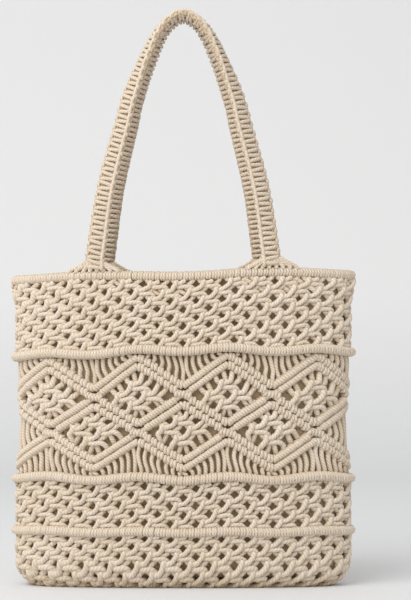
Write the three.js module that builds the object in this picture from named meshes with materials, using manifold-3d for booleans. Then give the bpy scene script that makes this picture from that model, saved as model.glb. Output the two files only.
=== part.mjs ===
// A macrame tote bag, knotted from cotton cord, standing on its base as it would by itself.
// Millimetres, +Z up. The origin is on the ground under the middle of the bag, and the front faces -Y.
// "Turn" goes once round the body, from 0 at the middle of the front towards +X.
import * as THREE from "three";
import { mergeVertices } from "three/addons/utils/BufferGeometryUtils.js";
import Module from "manifold-3d";

const wasm = await Module();
wasm.setup();

// Cord work
const wallThickness = 8; // a square knot is two crossings of cord deep
const panelThickness = 6; // bare strands and small knots of the diamond panel
const clearance = 0.3;
const liningThickness = 1;

// Body section: a flattened oval through the middle of the wall
const bodyWidth = 330;
const bodyDepth = 72;
const sectionPower = 2.4; // 2 would be an ellipse, more is squarer
const baseCorner = { width: 27, depth: 17, height: 26 }; // how far the wall curves in under the bag

// Heights above the ground of the middle of each row, at the middle of the front
const rimHeight = 314.5;
const upperRowHeight = 239.5;
const middleRowHeight = 110.5;
const lowerRowHeight = 57;

// Hitch rows: cords wrapped round a filler, which stand out from the wall
const rowHeight = 10.4;
const rowThickness = 13;
const rowStandOut = 3.5;
const rimThickness = 10.6;

// Diamond panel
const diamondCount = 8; // round the bag
const diamondHeight = 70;
const diamondDrop = 10.5; // middle of the upper row to the peaks of the bars
const barWidth = 17; // two hitched bars side by side
const barStandOut = 5.6; // middle of the wall to the crest of a bar
const barLap = 0.5; // the middle ring of bars lies a little over the two others
const barInset = 0.3; // bars end this far inside the panel's edges
const sideGap = { width: 6.6, height: 5.8, reach: 0.59 }; // reach: share of the diamond's half width
const fringeSlot = { width: 3, height: 13, reach: 0.24, drop: 9 };

// Nets: one row of holes is cut in each, in place of the rows that the knots make
const knotCount = 28; // round the bag
const netHole = { width: 6, height: 7.5 };
const netBend = 0.7; // share of a net's height at which it starts to lean out to the row above

// Handles: two flat sinnets of square knots, which turn from face on at the rim to edge on at the top
const strapWidth = 20;
const strapThickness = 11.6;
const handleHeight = 584;
const frontLegSpacing = 172;
const backLegSpacing = 156;
const strapGap = 0.8; // between the two straps at the top
const rootSpread = 52;
const rootHeight = 8;
const rootThickness = 9;
const rootTip = 1.2;

// How far the rows wander: up at the diamonds' peaks, up at the handles, up to the right, down at the sides
const diamondRipple = 2;
const handleRipple = 1.5;
const lean = 2.8;
const sideSag = 3.5;

// Width and depth of the body as shares of bodyWidth and bodyDepth, at shares of rimHeight
const OUTLINE = [
  { height: 0, width: 1.0, depth: 0.95 },
  { height: 0.18, width: 1.003, depth: 1.0 },
  { height: 0.35, width: 1.003, depth: 1.02 },
  { height: 0.56, width: 0.985, depth: 1.0 },
  { height: 0.76, width: 1.005, depth: 0.95 },
  { height: 0.9, width: 1.003, depth: 0.87 },
  { height: 1, width: 1.033, depth: 0.77 },
];

// Shares of the four ways the rows wander, at shares of rimHeight
const WANDER = [
  { height: 0, diamonds: 0, handles: 0, lean: 0, sag: 0 },
  { height: 0.18, diamonds: 0.4, handles: 0, lean: 0, sag: 0 },
  { height: 0.35, diamonds: 1, handles: 0, lean: 0, sag: 0 },
  { height: 0.76, diamonds: 0.9, handles: 0, lean: 0.9, sag: 1 },
  { height: 1, diamonds: 0, handles: 1, lean: 1, sag: 0.3 },
];

// Middle line of one handle leg: spread as a share of half the leg spacing, turn to face the front as a
// share of a right angle, both at shares of the way up
const HANDLE_LEG = [
  { rise: 0, spread: 1, facing: 0.92 },
  { rise: 0.3, spread: 0.865, facing: 0.76 },
  { rise: 0.537, spread: 0.69, facing: 0.65 },
  { rise: 0.655, spread: 0.605, facing: 0.57 },
  { rise: 0.851, spread: 0.39, facing: 0.3 },
  { rise: 0.93, spread: 0.275, facing: 0.18 },
  { rise: 0.975, spread: 0.165, facing: 0.08 },
  { rise: 1, spread: 0, facing: 0 },
];

// Fineness of the facets
const frontColumns = 2; // columns of facets in half a diamond on the front and back
const sideColumns = 4; // and round the two sides
const rimSides = 8;
const rowSides = 6;
const cornerSteps = 3;
const strapSteps = 34;
const rootSteps = 6;
const arcSteps = 4000;

const clearRow = rowHeight / 2 + clearance;
const clearRim = rimThickness / 2 + clearance;

// A column of a table at a share, eased from row to row
function valueAt(table, key, column, share) {
  const last = table.length - 1;
  const next = THREE.MathUtils.clamp(table.findIndex((row) => row[key] > share), 1, last);
  const upper = share >= table[last][key] ? last : next;
  const from = table[upper - 1];
  const to = table[upper];
  const ease = THREE.MathUtils.smoothstep(share, from[key], to[key]);
  return THREE.MathUtils.lerp(from[column], to[column], ease);
}

// A point of the oval section at an angle of its formula
function ovalPoint(angle, halfWidth, halfDepth) {
  const round = (value) => Math.sign(value) * Math.abs(value) ** (2 / sectionPower);
  return [halfWidth * round(Math.sin(angle)), -halfDepth * round(Math.cos(angle))];
}

// The oval's length round, and the formula's angle at equal steps of that length
function measureOval() {
  const angles = Array.from({ length: arcSteps + 1 }, (_, i) => (2 * Math.PI * i) / arcSteps);
  const points = angles.map((angle) => ovalPoint(angle, bodyWidth / 2, bodyDepth / 2));
  const lengths = [0];
  for (let i = 1; i <= arcSteps; i++) {
    const step = Math.hypot(points[i][0] - points[i - 1][0], points[i][1] - points[i - 1][1]);
    lengths.push(lengths[i - 1] + step);
  }
  return { angles, lengths, girth: lengths[arcSteps] };
}

const oval = measureOval();
const girth = oval.girth;

function angleAt(turn) {
  const length = (turn - Math.floor(turn)) * girth;
  let low = 0;
  let high = arcSteps;
  while (high - low > 1) {
    const middle = (low + high) >> 1;
    if (oval.lengths[middle] <= length) low = middle;
    else high = middle;
  }
  const span = oval.lengths[high] - oval.lengths[low];
  const part = (length - oval.lengths[low]) / span;
  return THREE.MathUtils.lerp(oval.angles[low], oval.angles[high], part);
}

function ovalAt(turn, halfWidth, halfDepth, z) {
  const [x, y] = ovalPoint(angleAt(turn), halfWidth, halfDepth);
  return new THREE.Vector3(x, y, z);
}

// How far a row lies above its nominal height
function wander(turn, height) {
  const share = height / rimHeight;
  const amount = (column) => valueAt(WANDER, "height", column, share);
  const across = Math.sin(2 * Math.PI * turn);
  const atDiamonds = -Math.cos(2 * Math.PI * diamondCount * turn);
  const atHandles = -Math.cos((2 * Math.PI * diamondCount * turn) / 2);
  return (
    amount("diamonds") * diamondRipple * atDiamonds +
    amount("handles") * handleRipple * atHandles +
    amount("lean") * lean * across -
    amount("sag") * sideSag * across * across
  );
}

function bodySize(height, offset) {
  const share = height / rimHeight;
  return {
    halfWidth: (bodyWidth / 2) * valueAt(OUTLINE, "height", "width", share) + offset,
    halfDepth: (bodyDepth / 2) * valueAt(OUTLINE, "height", "depth", share) + offset,
  };
}

// A point of the body, with the offset outwards from the middle of the wall
function bodyPoint(turn, height, offset = 0) {
  const { halfWidth, halfDepth } = bodySize(height, offset);
  return ovalAt(turn, halfWidth, halfDepth, height + wander(turn, height));
}

// A closed skin over a row of loops with as many points each, joined up with itself or with two flat ends
function loft(loops, joined = false) {
  const count = loops[0].length;
  const points = loops.flat();
  const index = [];
  const strips = joined ? loops.length : loops.length - 1;
  for (let i = 0; i < strips; i++) {
    const here = i * count;
    const there = ((i + 1) % loops.length) * count;
    for (let j = 0; j < count; j++) {
      const k = (j + 1) % count;
      index.push(here + j, here + k, there + k, here + j, there + k, there + j);
    }
  }
  if (!joined) {
    for (const [loop, start, turned] of [[loops[0], 0, true], [loops.at(-1), strips * count, false]]) {
      const middle = points.length;
      points.push(loop.reduce((sum, p) => sum.add(p), new THREE.Vector3()).divideScalar(count));
      for (let j = 0; j < count; j++) {
        const edge = [start + j, start + ((j + 1) % count)];
        index.push(middle, ...(turned ? edge.reverse() : edge));
      }
    }
  }
  return new THREE.BufferGeometry().setFromPoints(points).setIndex(index);
}

function solidOf(geometry) {
  const merged = mergeVertices(geometry, 1e-4);
  return new wasm.Manifold(
    new wasm.Mesh({
      numProp: 3,
      vertProperties: merged.attributes.position.array,
      triVerts: new Uint32Array(merged.index.array),
    }),
  );
}

function geometryOf(solid) {
  const { vertProperties, triVerts } = solid.getMesh();
  return new THREE.BufferGeometry()
    .setAttribute("position", new THREE.BufferAttribute(vertProperties, 3))
    .setIndex(new THREE.BufferAttribute(triVerts, 1));
}

const joinAll = (solids) => solids.reduce((sum, solid) => sum.add(solid));
const cutAll = (solid, cutters) => cutters.reduce((rest, cutter) => rest.subtract(cutter), solid);
const range = (count) => Array.from({ length: count }, (_, i) => i);

// The turns at which a ring has corners: the peaks and valleys of the diamonds, and places between them
const ringTurns = range(2 * diamondCount).flatMap((i) => {
  const halfDiamond = 0.5 / diamondCount;
  const middle = (i + 0.5) * halfDiamond;
  const bySide = Math.abs(Math.abs(middle - 0.5) - 0.25) < halfDiamond;
  const columns = bySide ? sideColumns : frontColumns;
  return range(columns).map((j) => (i + j / columns) * halfDiamond);
});

// A ring round the body from a section of [offset, height] corners, from inside over the top to outside
function ringGeometry(section) {
  const loopAt = (turn) => section.map(([offset, height]) => bodyPoint(turn, height, offset));
  return loft(ringTurns.map(loopAt), true);
}

// A round section with a flat top and bottom, so that its neighbours seat on it
function roundSection(sides, offset, height, thickness, tall) {
  const angles = range(sides).map((i) => ((i + (sides % 4 ? 0 : 0.5)) * 2 * Math.PI) / sides);
  const widest = Math.max(...angles.map(Math.cos));
  const tallest = Math.max(...angles.map(Math.sin));
  return angles.map((angle) => [
    offset - ((thickness / 2) * Math.cos(angle)) / widest,
    height + ((tall / 2) * Math.sin(angle)) / tallest,
  ]);
}

// Corners of a standing wall with one bend at a share of its height
function wallSection(bottom, top, inner, outer, bendShare = 0.5) {
  const bend = THREE.MathUtils.lerp(bottom, top, bendShare);
  return [[inner, bottom], [inner, bend], [inner, top], [outer, top], [outer, bend], [outer, bottom]];
}

// A cutter through the wall, from corners given in mm along and up from a place on the body
function gapCutter(turn, height, corners) {
  const reach = 2 * wallThickness;
  const loop = (offset) =>
    corners.map(([along, up]) => bodyPoint(turn + along / girth, height + up, offset));
  return solidOf(loft([loop(-reach), loop(reach)]));
}

const rhombus = ({ width, height }) => [[width / 2, 0], [0, height / 2], [-width / 2, 0], [0, -height / 2]];

function makeRow(height) {
  return ringGeometry(roundSection(rowSides, rowStandOut, height, rowThickness, rowHeight));
}

function makeRim() {
  return ringGeometry(roundSection(rimSides, 0, rimHeight, rimThickness, rimThickness));
}

// A net of square knots between two rows, with one row of its holes cut through
function makeNet(bottom, top) {
  const half = wallThickness / 2;
  const wall = solidOf(ringGeometry(wallSection(bottom, top, -half, half, netBend)));
  const height = (bottom + THREE.MathUtils.lerp(bottom, top, netBend)) / 2;
  const holes = range(knotCount).map((i) => gapCutter(i / knotCount, height, rhombus(netHole)));
  return geometryOf(cutAll(wall, holes));
}

const panelBottom = middleRowHeight + clearRow;
const panelTop = upperRowHeight - clearRow;
const peakHeight = upperRowHeight - diamondDrop;
const diamondStep = 1 / diamondCount;

// One ring of doubled diagonal bars, which zigzags between peaks and valleys half a diamond lower
function makeZigzag(topHeight, firstPeak, crest) {
  const side = girth / diamondCount / 2;
  const fall = diamondHeight / 2;
  const tall = (barWidth * Math.hypot(side, fall)) / side;
  const crestShare = 0.66; // of the bar's width is flat on top
  const within = (height) => THREE.MathUtils.clamp(height, panelBottom + barInset, panelTop - barInset);
  const loops = ringTurns.map((turn) => {
    const phase = (turn - firstPeak) * diamondCount;
    const away = Math.abs(phase - Math.round(phase)) * 2;
    const height = topHeight - fall * away;
    const at = (share, offset) => bodyPoint(turn, within(height + (share * tall) / 2), offset);
    return [at(-1, 0), at(1, 0), at(crestShare, crest), at(-crestShare, crest)];
  });
  return solidOf(loft(loops, true));
}

// The turn and height of the middle of each of the two rings of diamonds
function diamondPlaces() {
  return range(diamondCount * 2).map((i) => {
    const lower = i % 2;
    return {
      turn: ((i + 1) * diamondStep) / 2,
      height: peakHeight - (diamondHeight / 2) * (1 + lower),
    };
  });
}

// The open places to the left and right of each flower
function diamondGaps({ turn, height }) {
  const reach = (sideGap.reach * diamondStep) / 2;
  return [-1, 1].map((side) => gapCutter(turn + side * reach, height, rhombus(sideGap)));
}

// The slots between the bare strands over and under the bars
function fringeSlots() {
  const { width, height, reach, drop } = fringeSlot;
  const unit = [[0.5, -0.5], [0.5, 0.5], [-0.5, 0.5], [-0.5, -0.5]];
  const corners = unit.map(([x, y]) => [x * width, y * height]);
  return range(diamondCount).flatMap((i) =>
    [-1, 1].flatMap((side) => [
      gapCutter(i * diamondStep + (side * reach * diamondStep) / 2, panelTop - drop, corners),
      gapCutter((i + 0.5) * diamondStep + (side * reach * diamondStep) / 2, panelBottom + drop, corners),
    ]),
  );
}

function makePanel() {
  const thick = panelThickness / 2;
  const wall = solidOf(ringGeometry(wallSection(panelBottom, panelTop, -thick, thick)));
  const half = diamondHeight / 2;
  const zigzags = [
    makeZigzag(peakHeight, diamondStep / 2, barStandOut),
    makeZigzag(peakHeight - half, 0, barStandOut + barLap),
    makeZigzag(peakHeight - 2 * half, diamondStep / 2, barStandOut),
  ];
  const places = diamondPlaces();
  return geometryOf(cutAll(joinAll([wall, ...zigzags]), [...places.flatMap(diamondGaps), ...fringeSlots()]));
}

// Loops up one side of a cup that curves in under the bag, at an offset from the middle of the wall
function cupLoops(offset, bends, heights) {
  const floor = wallThickness / 2 - offset;
  const inset = {
    width: baseCorner.width - floor,
    depth: baseCorner.depth - floor,
  };
  const corner = range(bends + 1).map((i) => {
    const angle = (i / bends) * (Math.PI / 2);
    const z = floor + (baseCorner.height - floor) * (1 - Math.cos(angle));
    return { z, share: 1 - Math.sin(angle) };
  });
  const levels = [...corner, ...heights.map((z) => ({ z, share: 0 }))];
  return levels.map(({ z, share }) =>
    ringTurns.map((turn) => {
      const { halfWidth, halfDepth } = bodySize(z, offset);
      return ovalAt(
        turn,
        halfWidth - share * inset.width,
        halfDepth - share * inset.depth,
        z + wander(turn, z) * (1 - share),
      );
    }),
  );
}

// The lower net, its rounded corner and the flat base, in one knotted cup
function makeBase() {
  const rims = [lowerRowHeight - clearRow];
  const outer = cupLoops(wallThickness / 2, cornerSteps, rims);
  const inner = cupLoops(-wallThickness / 2, cornerSteps, rims);
  return loft([...outer, ...inner.reverse()]);
}

// The cloth lining, which shows through every gap
function makeLining() {
  const outside = -wallThickness / 2 - clearance;
  const waist = (panelBottom + panelTop) / 2;
  const bottom = upperRowHeight + clearRow;
  const top = rimHeight - clearRim;
  const heights = [waist, bottom, THREE.MathUtils.lerp(bottom, top, netBend), top];
  const outer = cupLoops(outside, 1, heights);
  const inner = cupLoops(outside - liningThickness, 1, heights);
  return loft([...outer, ...inner.reverse()]);
}

// Where a handle leg stands on the rim
function legTurn(front, side) {
  const spacing = front ? frontLegSpacing : backLegSpacing;
  const turn = (side * spacing) / 2 / girth;
  return front ? turn : 0.5 - turn;
}

function footPoint(turn) {
  const point = bodyPoint(turn, rimHeight);
  return point.setZ(point.z + clearRim);
}

// The cords of a handle leg, spread over the rim as a low fan
function makeRoot(middleTurn) {
  const topZ = footPoint(middleTurn).z + rootHeight;
  const plateau = strapWidth / rootSpread;
  const loops = range(rootSteps + 1).map((i) => {
    const across = (2 * i) / rootSteps - 1;
    const turn = middleTurn + (across * rootSpread) / 2 / girth;
    const slope = THREE.MathUtils.smoothstep(1 - Math.abs(across), 0, 1 - plateau);
    const at = (offset, z) => bodyPoint(turn, rimHeight, offset).setZ(z);
    const bottom = footPoint(turn).z;
    const top = THREE.MathUtils.lerp(bottom + rootTip, topZ, slope);
    const half = rootThickness / 2;
    return [at(-half, bottom), at(-half, top), at(half, top), at(half, bottom)];
  });
  return loft(loops);
}

// The middle line of a handle and its turning frame, from the left foot over the top to the right foot
function handleStations(front) {
  const outward = front ? -1 : 1;
  const feet = [-1, 1].map((side) => footPoint(legTurn(front, side)));
  const start = Math.max(...feet.map((foot) => foot.z)) + rootHeight + clearance;
  const crown = handleHeight - strapThickness / 2;
  const topY = outward * (strapWidth + strapGap) * 0.5;
  const legPoint = (row, foot) =>
    new THREE.Vector3(
      foot.x * row.spread,
      THREE.MathUtils.lerp(foot.y, topY, row.rise),
      THREE.MathUtils.lerp(start, crown, row.rise),
    );
  const left = HANDLE_LEG.map((row) => legPoint(row, feet[0]));
  const right = HANDLE_LEG.slice(0, -1).map((row) => legPoint(row, feet[1]));
  const curve = new THREE.CatmullRomCurve3([...left, ...right.reverse()], false, "centripetal");
  return range(strapSteps + 1).map((i) => {
    const point = curve.getPointAt(i / strapSteps);
    const upright = i === 0 || i === strapSteps;
    const side = i === 0 ? 1 : -1;
    const tangent = upright ? new THREE.Vector3(0, 0, side) : curve.getTangentAt(i / strapSteps);
    const rise = (point.z - start) / (crown - start);
    const facing = valueAt(HANDLE_LEG, "rise", "facing", rise) * (Math.PI / 2);
    const archNormal = new THREE.Vector3(-tangent.z, 0, tangent.x).normalize();
    const faceNormal = archNormal
      .multiplyScalar(Math.cos(facing))
      .add(new THREE.Vector3(0, outward * Math.sin(facing), 0));
    const width = new THREE.Vector3().crossVectors(tangent, faceNormal).normalize();
    return { point, width, face: new THREE.Vector3().crossVectors(width, tangent) };
  });
}

function makeHandle(front) {
  const section = roundSection(rowSides, 0, 0, strapWidth, strapThickness);
  const loops = handleStations(front).map(({ point, width, face }) =>
    section.map(([across, up]) => point.clone().addScaledVector(width, across).addScaledVector(face, up)),
  );
  return loft(loops);
}

const cordFinish = { color: 0xe3d3b8, roughness: 0.9, metalness: 0 };
const liningFinish = { color: 0x9c8663, roughness: 0.95, metalness: 0 };

const bag = new THREE.Group();
bag.name = "macrame_bag";

function addPiece(name, geometry, finish = cordFinish) {
  const mesh = new THREE.Mesh(geometry, new THREE.MeshStandardMaterial(finish));
  mesh.name = name;
  bag.add(mesh);
}

addPiece("rim_roll", makeRim());
addPiece("upper_net", makeNet(upperRowHeight + clearRow, rimHeight - clearRim));
addPiece("upper_hitch_row", makeRow(upperRowHeight));
addPiece("diamond_panel", makePanel());
addPiece("middle_hitch_row", makeRow(middleRowHeight));
addPiece("middle_net", makeNet(lowerRowHeight + clearRow, middleRowHeight - clearRow));
addPiece("lower_hitch_row", makeRow(lowerRowHeight));
addPiece("base_net", makeBase());
addPiece("lining", makeLining(), liningFinish);
for (const [place, front] of [["front", true], ["back", false]]) {
  addPiece(`handle_${place}`, makeHandle(front));
  for (const [end, side] of [["left", -1], ["right", 1]]) {
    addPiece(`handle_root_${place}_${end}`, makeRoot(legTurn(front, side)));
  }
}

export default bag;
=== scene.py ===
"""A macrame tote bag: knotted cotton cord, two flat knotted handles and a cloth lining.

Every knot is laid out on a flat board first, in metres: x runs round the bag, y up the wall and z out
of it. The wall, or a handle's strap, then bends the finished cords to their place.
"""

import logging
from collections.abc import Callable
from dataclasses import dataclass, field
from enum import Enum
from math import atan, cos, hypot, pi, radians, sin

import bpy
import numpy as np
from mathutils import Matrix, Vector


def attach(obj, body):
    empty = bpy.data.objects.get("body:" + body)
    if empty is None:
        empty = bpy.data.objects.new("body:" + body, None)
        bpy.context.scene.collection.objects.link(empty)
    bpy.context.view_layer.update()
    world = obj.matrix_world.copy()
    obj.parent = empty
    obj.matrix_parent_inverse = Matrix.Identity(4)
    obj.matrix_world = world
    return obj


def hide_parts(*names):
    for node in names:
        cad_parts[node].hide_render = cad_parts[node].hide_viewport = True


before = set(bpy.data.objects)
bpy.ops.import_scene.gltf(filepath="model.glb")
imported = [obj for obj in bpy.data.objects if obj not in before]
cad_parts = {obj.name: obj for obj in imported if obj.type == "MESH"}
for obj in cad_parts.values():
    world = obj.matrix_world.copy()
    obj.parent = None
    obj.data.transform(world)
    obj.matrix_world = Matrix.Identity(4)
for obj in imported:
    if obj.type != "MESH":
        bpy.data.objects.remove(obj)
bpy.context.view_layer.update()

LOG = logging.getLogger("macrame_bag")

MM = 0.001
BODY = "root"
CORD_MAP = "cord"

ROW_TALL = 10.4 * MM
RIM_THICKNESS = 10.6 * MM

# Steps round the wall's oval and between two points of a handle's path, both finer than the cords
ARC_STEPS = 4000
PATH_STEPS = 40
# How far apart the seeds of two nets are, so that each of their rows has a seed of its own
NET_SEEDS = 1000
# The least length that a vector is scaled from, and how steeply out of the board a cord may start before
# its section is turned by the board's x instead of its z
LEAST_LENGTH = 1e-12
STEEP = 0.8

Lines = np.ndarray
Place = Callable[[np.ndarray], np.ndarray]
Colour = tuple[float, float, float]


class Slot(Enum):
    """The record's material slots."""

    CORD = "cotton_cord"
    LINING = "lining_cloth"


class Role(Enum):
    """The part that a cord plays in a square knot, in the order of the cords from the left."""

    LOOPING = 0
    LEFT_FILLER = 1
    CROSSING = 2
    RIGHT_FILLER = 3


class Slope(Enum):
    """Which way a hitched bar runs from left to right."""

    RISING = 1
    FALLING = -1


class Side(Enum):
    """The face of the bag, and its outward direction along Y."""

    FRONT = -1
    BACK = 1


class Table:
    """A short table with named columns, eased from row to row."""

    def __init__(self, columns: str, rows: list[tuple[float, ...]]) -> None:
        """Keep the rows under their column names.

        Args:
            columns: The names, the first of which is the key.
            rows: One tuple of numbers for each row, by rising key.
        """
        values = np.array(rows, float).T
        self.keys = values[0]
        self.columns = dict(zip(columns.split()[1:], values[1:]))

    def at(self, column: str, key: np.ndarray) -> np.ndarray:
        """Read a column at any key.

        Args:
            column: The column's name.
            key: Places between the first and the last key.

        Returns:
            The eased values, as many as the keys.
        """
        upper = np.clip(np.searchsorted(self.keys, key, side="right"), 1, len(self.keys) - 1)
        start, end = self.keys[upper - 1], self.keys[upper]
        share = np.clip((key - start) / (end - start), 0.0, 1.0)
        ease = share * share * (3.0 - 2.0 * share)
        values = self.columns[column]
        return values[upper - 1] + (values[upper] - values[upper - 1]) * ease


# Width and depth of the body as shares of the wall's sizes, at shares of the rim's height
OUTLINE = Table(
    "height width depth",
    [
        (0.0, 1.0, 0.95),
        (0.18, 1.003, 1.0),
        (0.35, 1.003, 1.02),
        (0.56, 0.985, 1.0),
        (0.76, 1.005, 0.95),
        (0.9, 1.003, 0.87),
        (1.0, 1.033, 0.77),
    ],
)

# Shares of the four ways in which the rows wander, at shares of the rim's height
WANDER = Table(
    "height diamonds handles lean sag",
    [
        (0.0, 0.0, 0.0, 0.0, 0.0),
        (0.18, 0.4, 0.0, 0.0, 0.0),
        (0.35, 1.0, 0.0, 0.0, 0.0),
        (0.76, 0.9, 0.0, 0.9, 1.0),
        (1.0, 0.0, 1.0, 1.0, 0.3),
    ],
)

# Middle line of a handle's leg: spread as a share of half the spacing, and turn to the front as a share
# of a right angle, both at shares of the way up
HANDLE_LEG = Table(
    "rise spread facing",
    [
        (0.0, 1.0, 0.92),
        (0.3, 0.865, 0.76),
        (0.537, 0.69, 0.65),
        (0.655, 0.605, 0.57),
        (0.851, 0.39, 0.3),
        (0.93, 0.275, 0.18),
        (0.975, 0.165, 0.08),
        (1.0, 0.0, 0.0),
    ],
)

# A bare strand at shares of its way: its shares of lean and bow, and how far it stands out in mm
STRAND = Table(
    "share lean bow out",
    [
        (-0.16, 0.0, 0.0, 0.0),
        (0.0, 0.0, 0.1, 0.3),
        (0.3, 0.1, 0.7, 0.8),
        (0.62, 0.4, 1.0, 0.9),
        (0.9, 0.9, 0.3, 0.6),
        (1.16, 1.5, 0.0, 0.0),
    ],
)

# The fan of a handle's root from the strap down: mm above the rim's top, and share of the whole spread
ROOT_FAN = [(9.4, 0.0), (7.4, 0.1), (5.4, 0.32), (3.5, 0.56), (1.9, 0.78), (0.6, 0.95), (-2.2, 1.06)]


@dataclass(frozen=True)
class Lean:
    """How far, in mm, strands shift along the board on their way to a bar."""

    at_peak: float
    gain: float = 0.0
    power: float = 1.0

    def shift(self, away: np.ndarray) -> np.ndarray:
        """Give the shift in metres at shares of the way from the bar's peak to its valley."""
        return (self.at_peak + self.gain * away**self.power) * MM


# The lean of strands that run down to a bar, and of those that come out under the lowest one
LEAN_IN = {Slope.RISING: Lean(2.6, 0.8), Slope.FALLING: Lean(-1.5, 4.9, 1.5)}
LEAN_OUT = {Slope.RISING: Lean(-2.6), Slope.FALLING: Lean(-2.2, 3.2)}


@dataclass
class Wall:
    """The oval wall of the bag, which bends what was knotted on the flat board."""

    width: float = 330 * MM
    depth: float = 72 * MM
    power: float = 2.4
    thickness: float = 8 * MM
    rim: float = 314.5 * MM
    corner_width: float = 27 * MM
    corner_depth: float = 17 * MM
    corner_height: float = 26 * MM
    corner_path: float = 28 * MM
    diamonds: int = 8
    diamond_ripple: float = 2 * MM
    handle_ripple: float = 1.5 * MM
    lean: float = 2.8 * MM
    side_sag: float = 3.5 * MM
    angles: np.ndarray = field(init=False)
    arc: np.ndarray = field(init=False)
    girth: float = field(init=False)

    def __post_init__(self) -> None:
        """Measure the oval once, so that a place on the board finds its angle."""
        self.angles = np.linspace(0.0, 2 * pi, ARC_STEPS + 1)
        x, y = self.oval(self.angles, self.width / 2, self.depth / 2)
        self.arc = np.concatenate([[0.0], np.cumsum(np.hypot(np.diff(x), np.diff(y)))])
        self.girth = float(self.arc[-1])

    def oval(self, angle: np.ndarray, half_width: np.ndarray, half_depth: np.ndarray) -> tuple:
        """Work out points of the oval section.

        Args:
            angle: Angles of the formula, 0 at the middle of the front.
            half_width: Half the width there.
            half_depth: Half the depth there.

        Returns:
            The x and y values.
        """
        across, along = np.sin(angle), np.cos(angle)
        x = half_width * np.sign(across) * np.abs(across) ** (2 / self.power)
        y = -half_depth * np.sign(along) * np.abs(along) ** (2 / self.power)
        return x, y

    def wander(self, turn: np.ndarray, height: np.ndarray) -> np.ndarray:
        """Say how far a row lies above its own height.

        Args:
            turn: Places round the bag, from 0 to 1.
            height: Heights above the ground.

        Returns:
            The rise at each place.
        """
        share = height / self.rim
        across = np.sin(2 * pi * turn)
        ripple = -np.cos(2 * pi * self.diamonds * turn)
        handles = -np.cos(pi * self.diamonds * turn)
        return (
            WANDER.at("diamonds", share) * self.diamond_ripple * ripple
            + WANDER.at("handles", share) * self.handle_ripple * handles
            + WANDER.at("lean", share) * self.lean * across
            - WANDER.at("sag", share) * self.side_sag * across**2
        )

    def place(self, board: np.ndarray) -> np.ndarray:
        """Bend points of the board round the bag.

        A point lower than the corner's height runs on round the corner and in under the bag.

        Args:
            board: Rows of x, y and z on the board.

        Returns:
            Rows of x, y and z in space.
        """
        turn = board[:, 0] / self.girth
        level, out = board[:, 1], board[:, 2]
        floor = self.thickness / 2 - out
        below = np.clip((self.corner_height - level) / self.corner_path, 0.0, 1.0)
        beyond = np.clip(self.corner_height - self.corner_path - level, 0.0, None)
        bend = (1.0 - below) * pi / 2
        inset = 1.0 - np.sin(bend)
        curved = floor + (self.corner_height - floor) * (1.0 - np.cos(bend))
        height = np.where(level < self.corner_height, curved, level)
        share = height / self.rim
        half_width = self.width / 2 * OUTLINE.at("width", share) + out
        half_depth = self.depth / 2 * OUTLINE.at("depth", share) + out
        half_width -= inset * (self.corner_width - floor) + beyond
        half_depth = np.maximum(half_depth - inset * (self.corner_depth - floor) - beyond, 0.0)
        angle = np.interp((turn % 1.0) * self.girth, self.arc, self.angles)
        x, y = self.oval(angle, half_width, half_depth)
        z = height + self.wander(turn, height) * (1.0 - inset)
        return np.stack([x, y, np.maximum(z, 0.0)], axis=1)


def through(points: Lines, steps: int, closed: bool = False) -> Lines:
    """Draw smooth lines through rows of points.

    Args:
        points: Lines of as many points each.
        steps: Pieces from one point to the next.
        closed: Whether each line joins its own start.

    Returns:
        The finer lines.
    """
    if closed:
        padded = np.concatenate([points[:, -1:], points, points[:, :2]], axis=1)
    else:
        first = 2 * points[:, :1] - points[:, 1:2]
        last = 2 * points[:, -1:] - points[:, -2:-1]
        padded = np.concatenate([first, points, last], axis=1)
    spans = padded.shape[1] - 3
    t = np.arange(steps)[:, None] / steps
    powers = np.concatenate([np.ones_like(t), t, t**2, t**3], axis=1)
    basis = np.array([[0, 2, 0, 0], [-1, 0, 1, 0], [2, -5, 4, -1], [-1, 3, -3, 1]]) / 2
    windows = np.stack([padded[:, i : i + spans] for i in range(4)], axis=2)
    fine = np.einsum("tk,cskd->cstd", powers @ basis, windows).reshape(len(points), -1, 3)
    return fine if closed else np.concatenate([fine, points[:, -1:]], axis=1)


def unit(vectors: np.ndarray) -> np.ndarray:
    """Scale vectors to a length of 1."""
    return vectors / np.maximum(np.linalg.norm(vectors, axis=-1, keepdims=True), LEAST_LENGTH)


def full_turn(steps: int) -> np.ndarray:
    """Give evenly spaced angles of one turn."""
    return np.arange(steps) * 2 * pi / steps


def around(lines: Lines, closed: bool) -> tuple[np.ndarray, np.ndarray]:
    """Find two directions square to each line at each of its points, without twist.

    Args:
        lines: The lines.
        closed: Whether they join their own starts.

    Returns:
        The two directions, in the lines' shape.
    """
    if closed:
        tangents = unit(np.roll(lines, -1, axis=1) - np.roll(lines, 1, axis=1))
    else:
        tangents = unit(np.gradient(lines, axis=1))
    first = np.empty_like(lines)
    start = tangents[:, 0]
    flat = np.abs(start[:, 2:]) < STEEP
    seed = np.where(flat, np.array([0.0, 0.0, 1.0]), np.array([1.0, 0.0, 0.0]))
    first[:, 0] = unit(seed - (seed * start).sum(axis=1, keepdims=True) * start)
    for i in range(1, lines.shape[1]):
        last, ahead = first[:, i - 1], tangents[:, i]
        first[:, i] = unit(last - (last * ahead).sum(axis=1, keepdims=True) * ahead)
    return first, np.cross(tangents, first)


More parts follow.
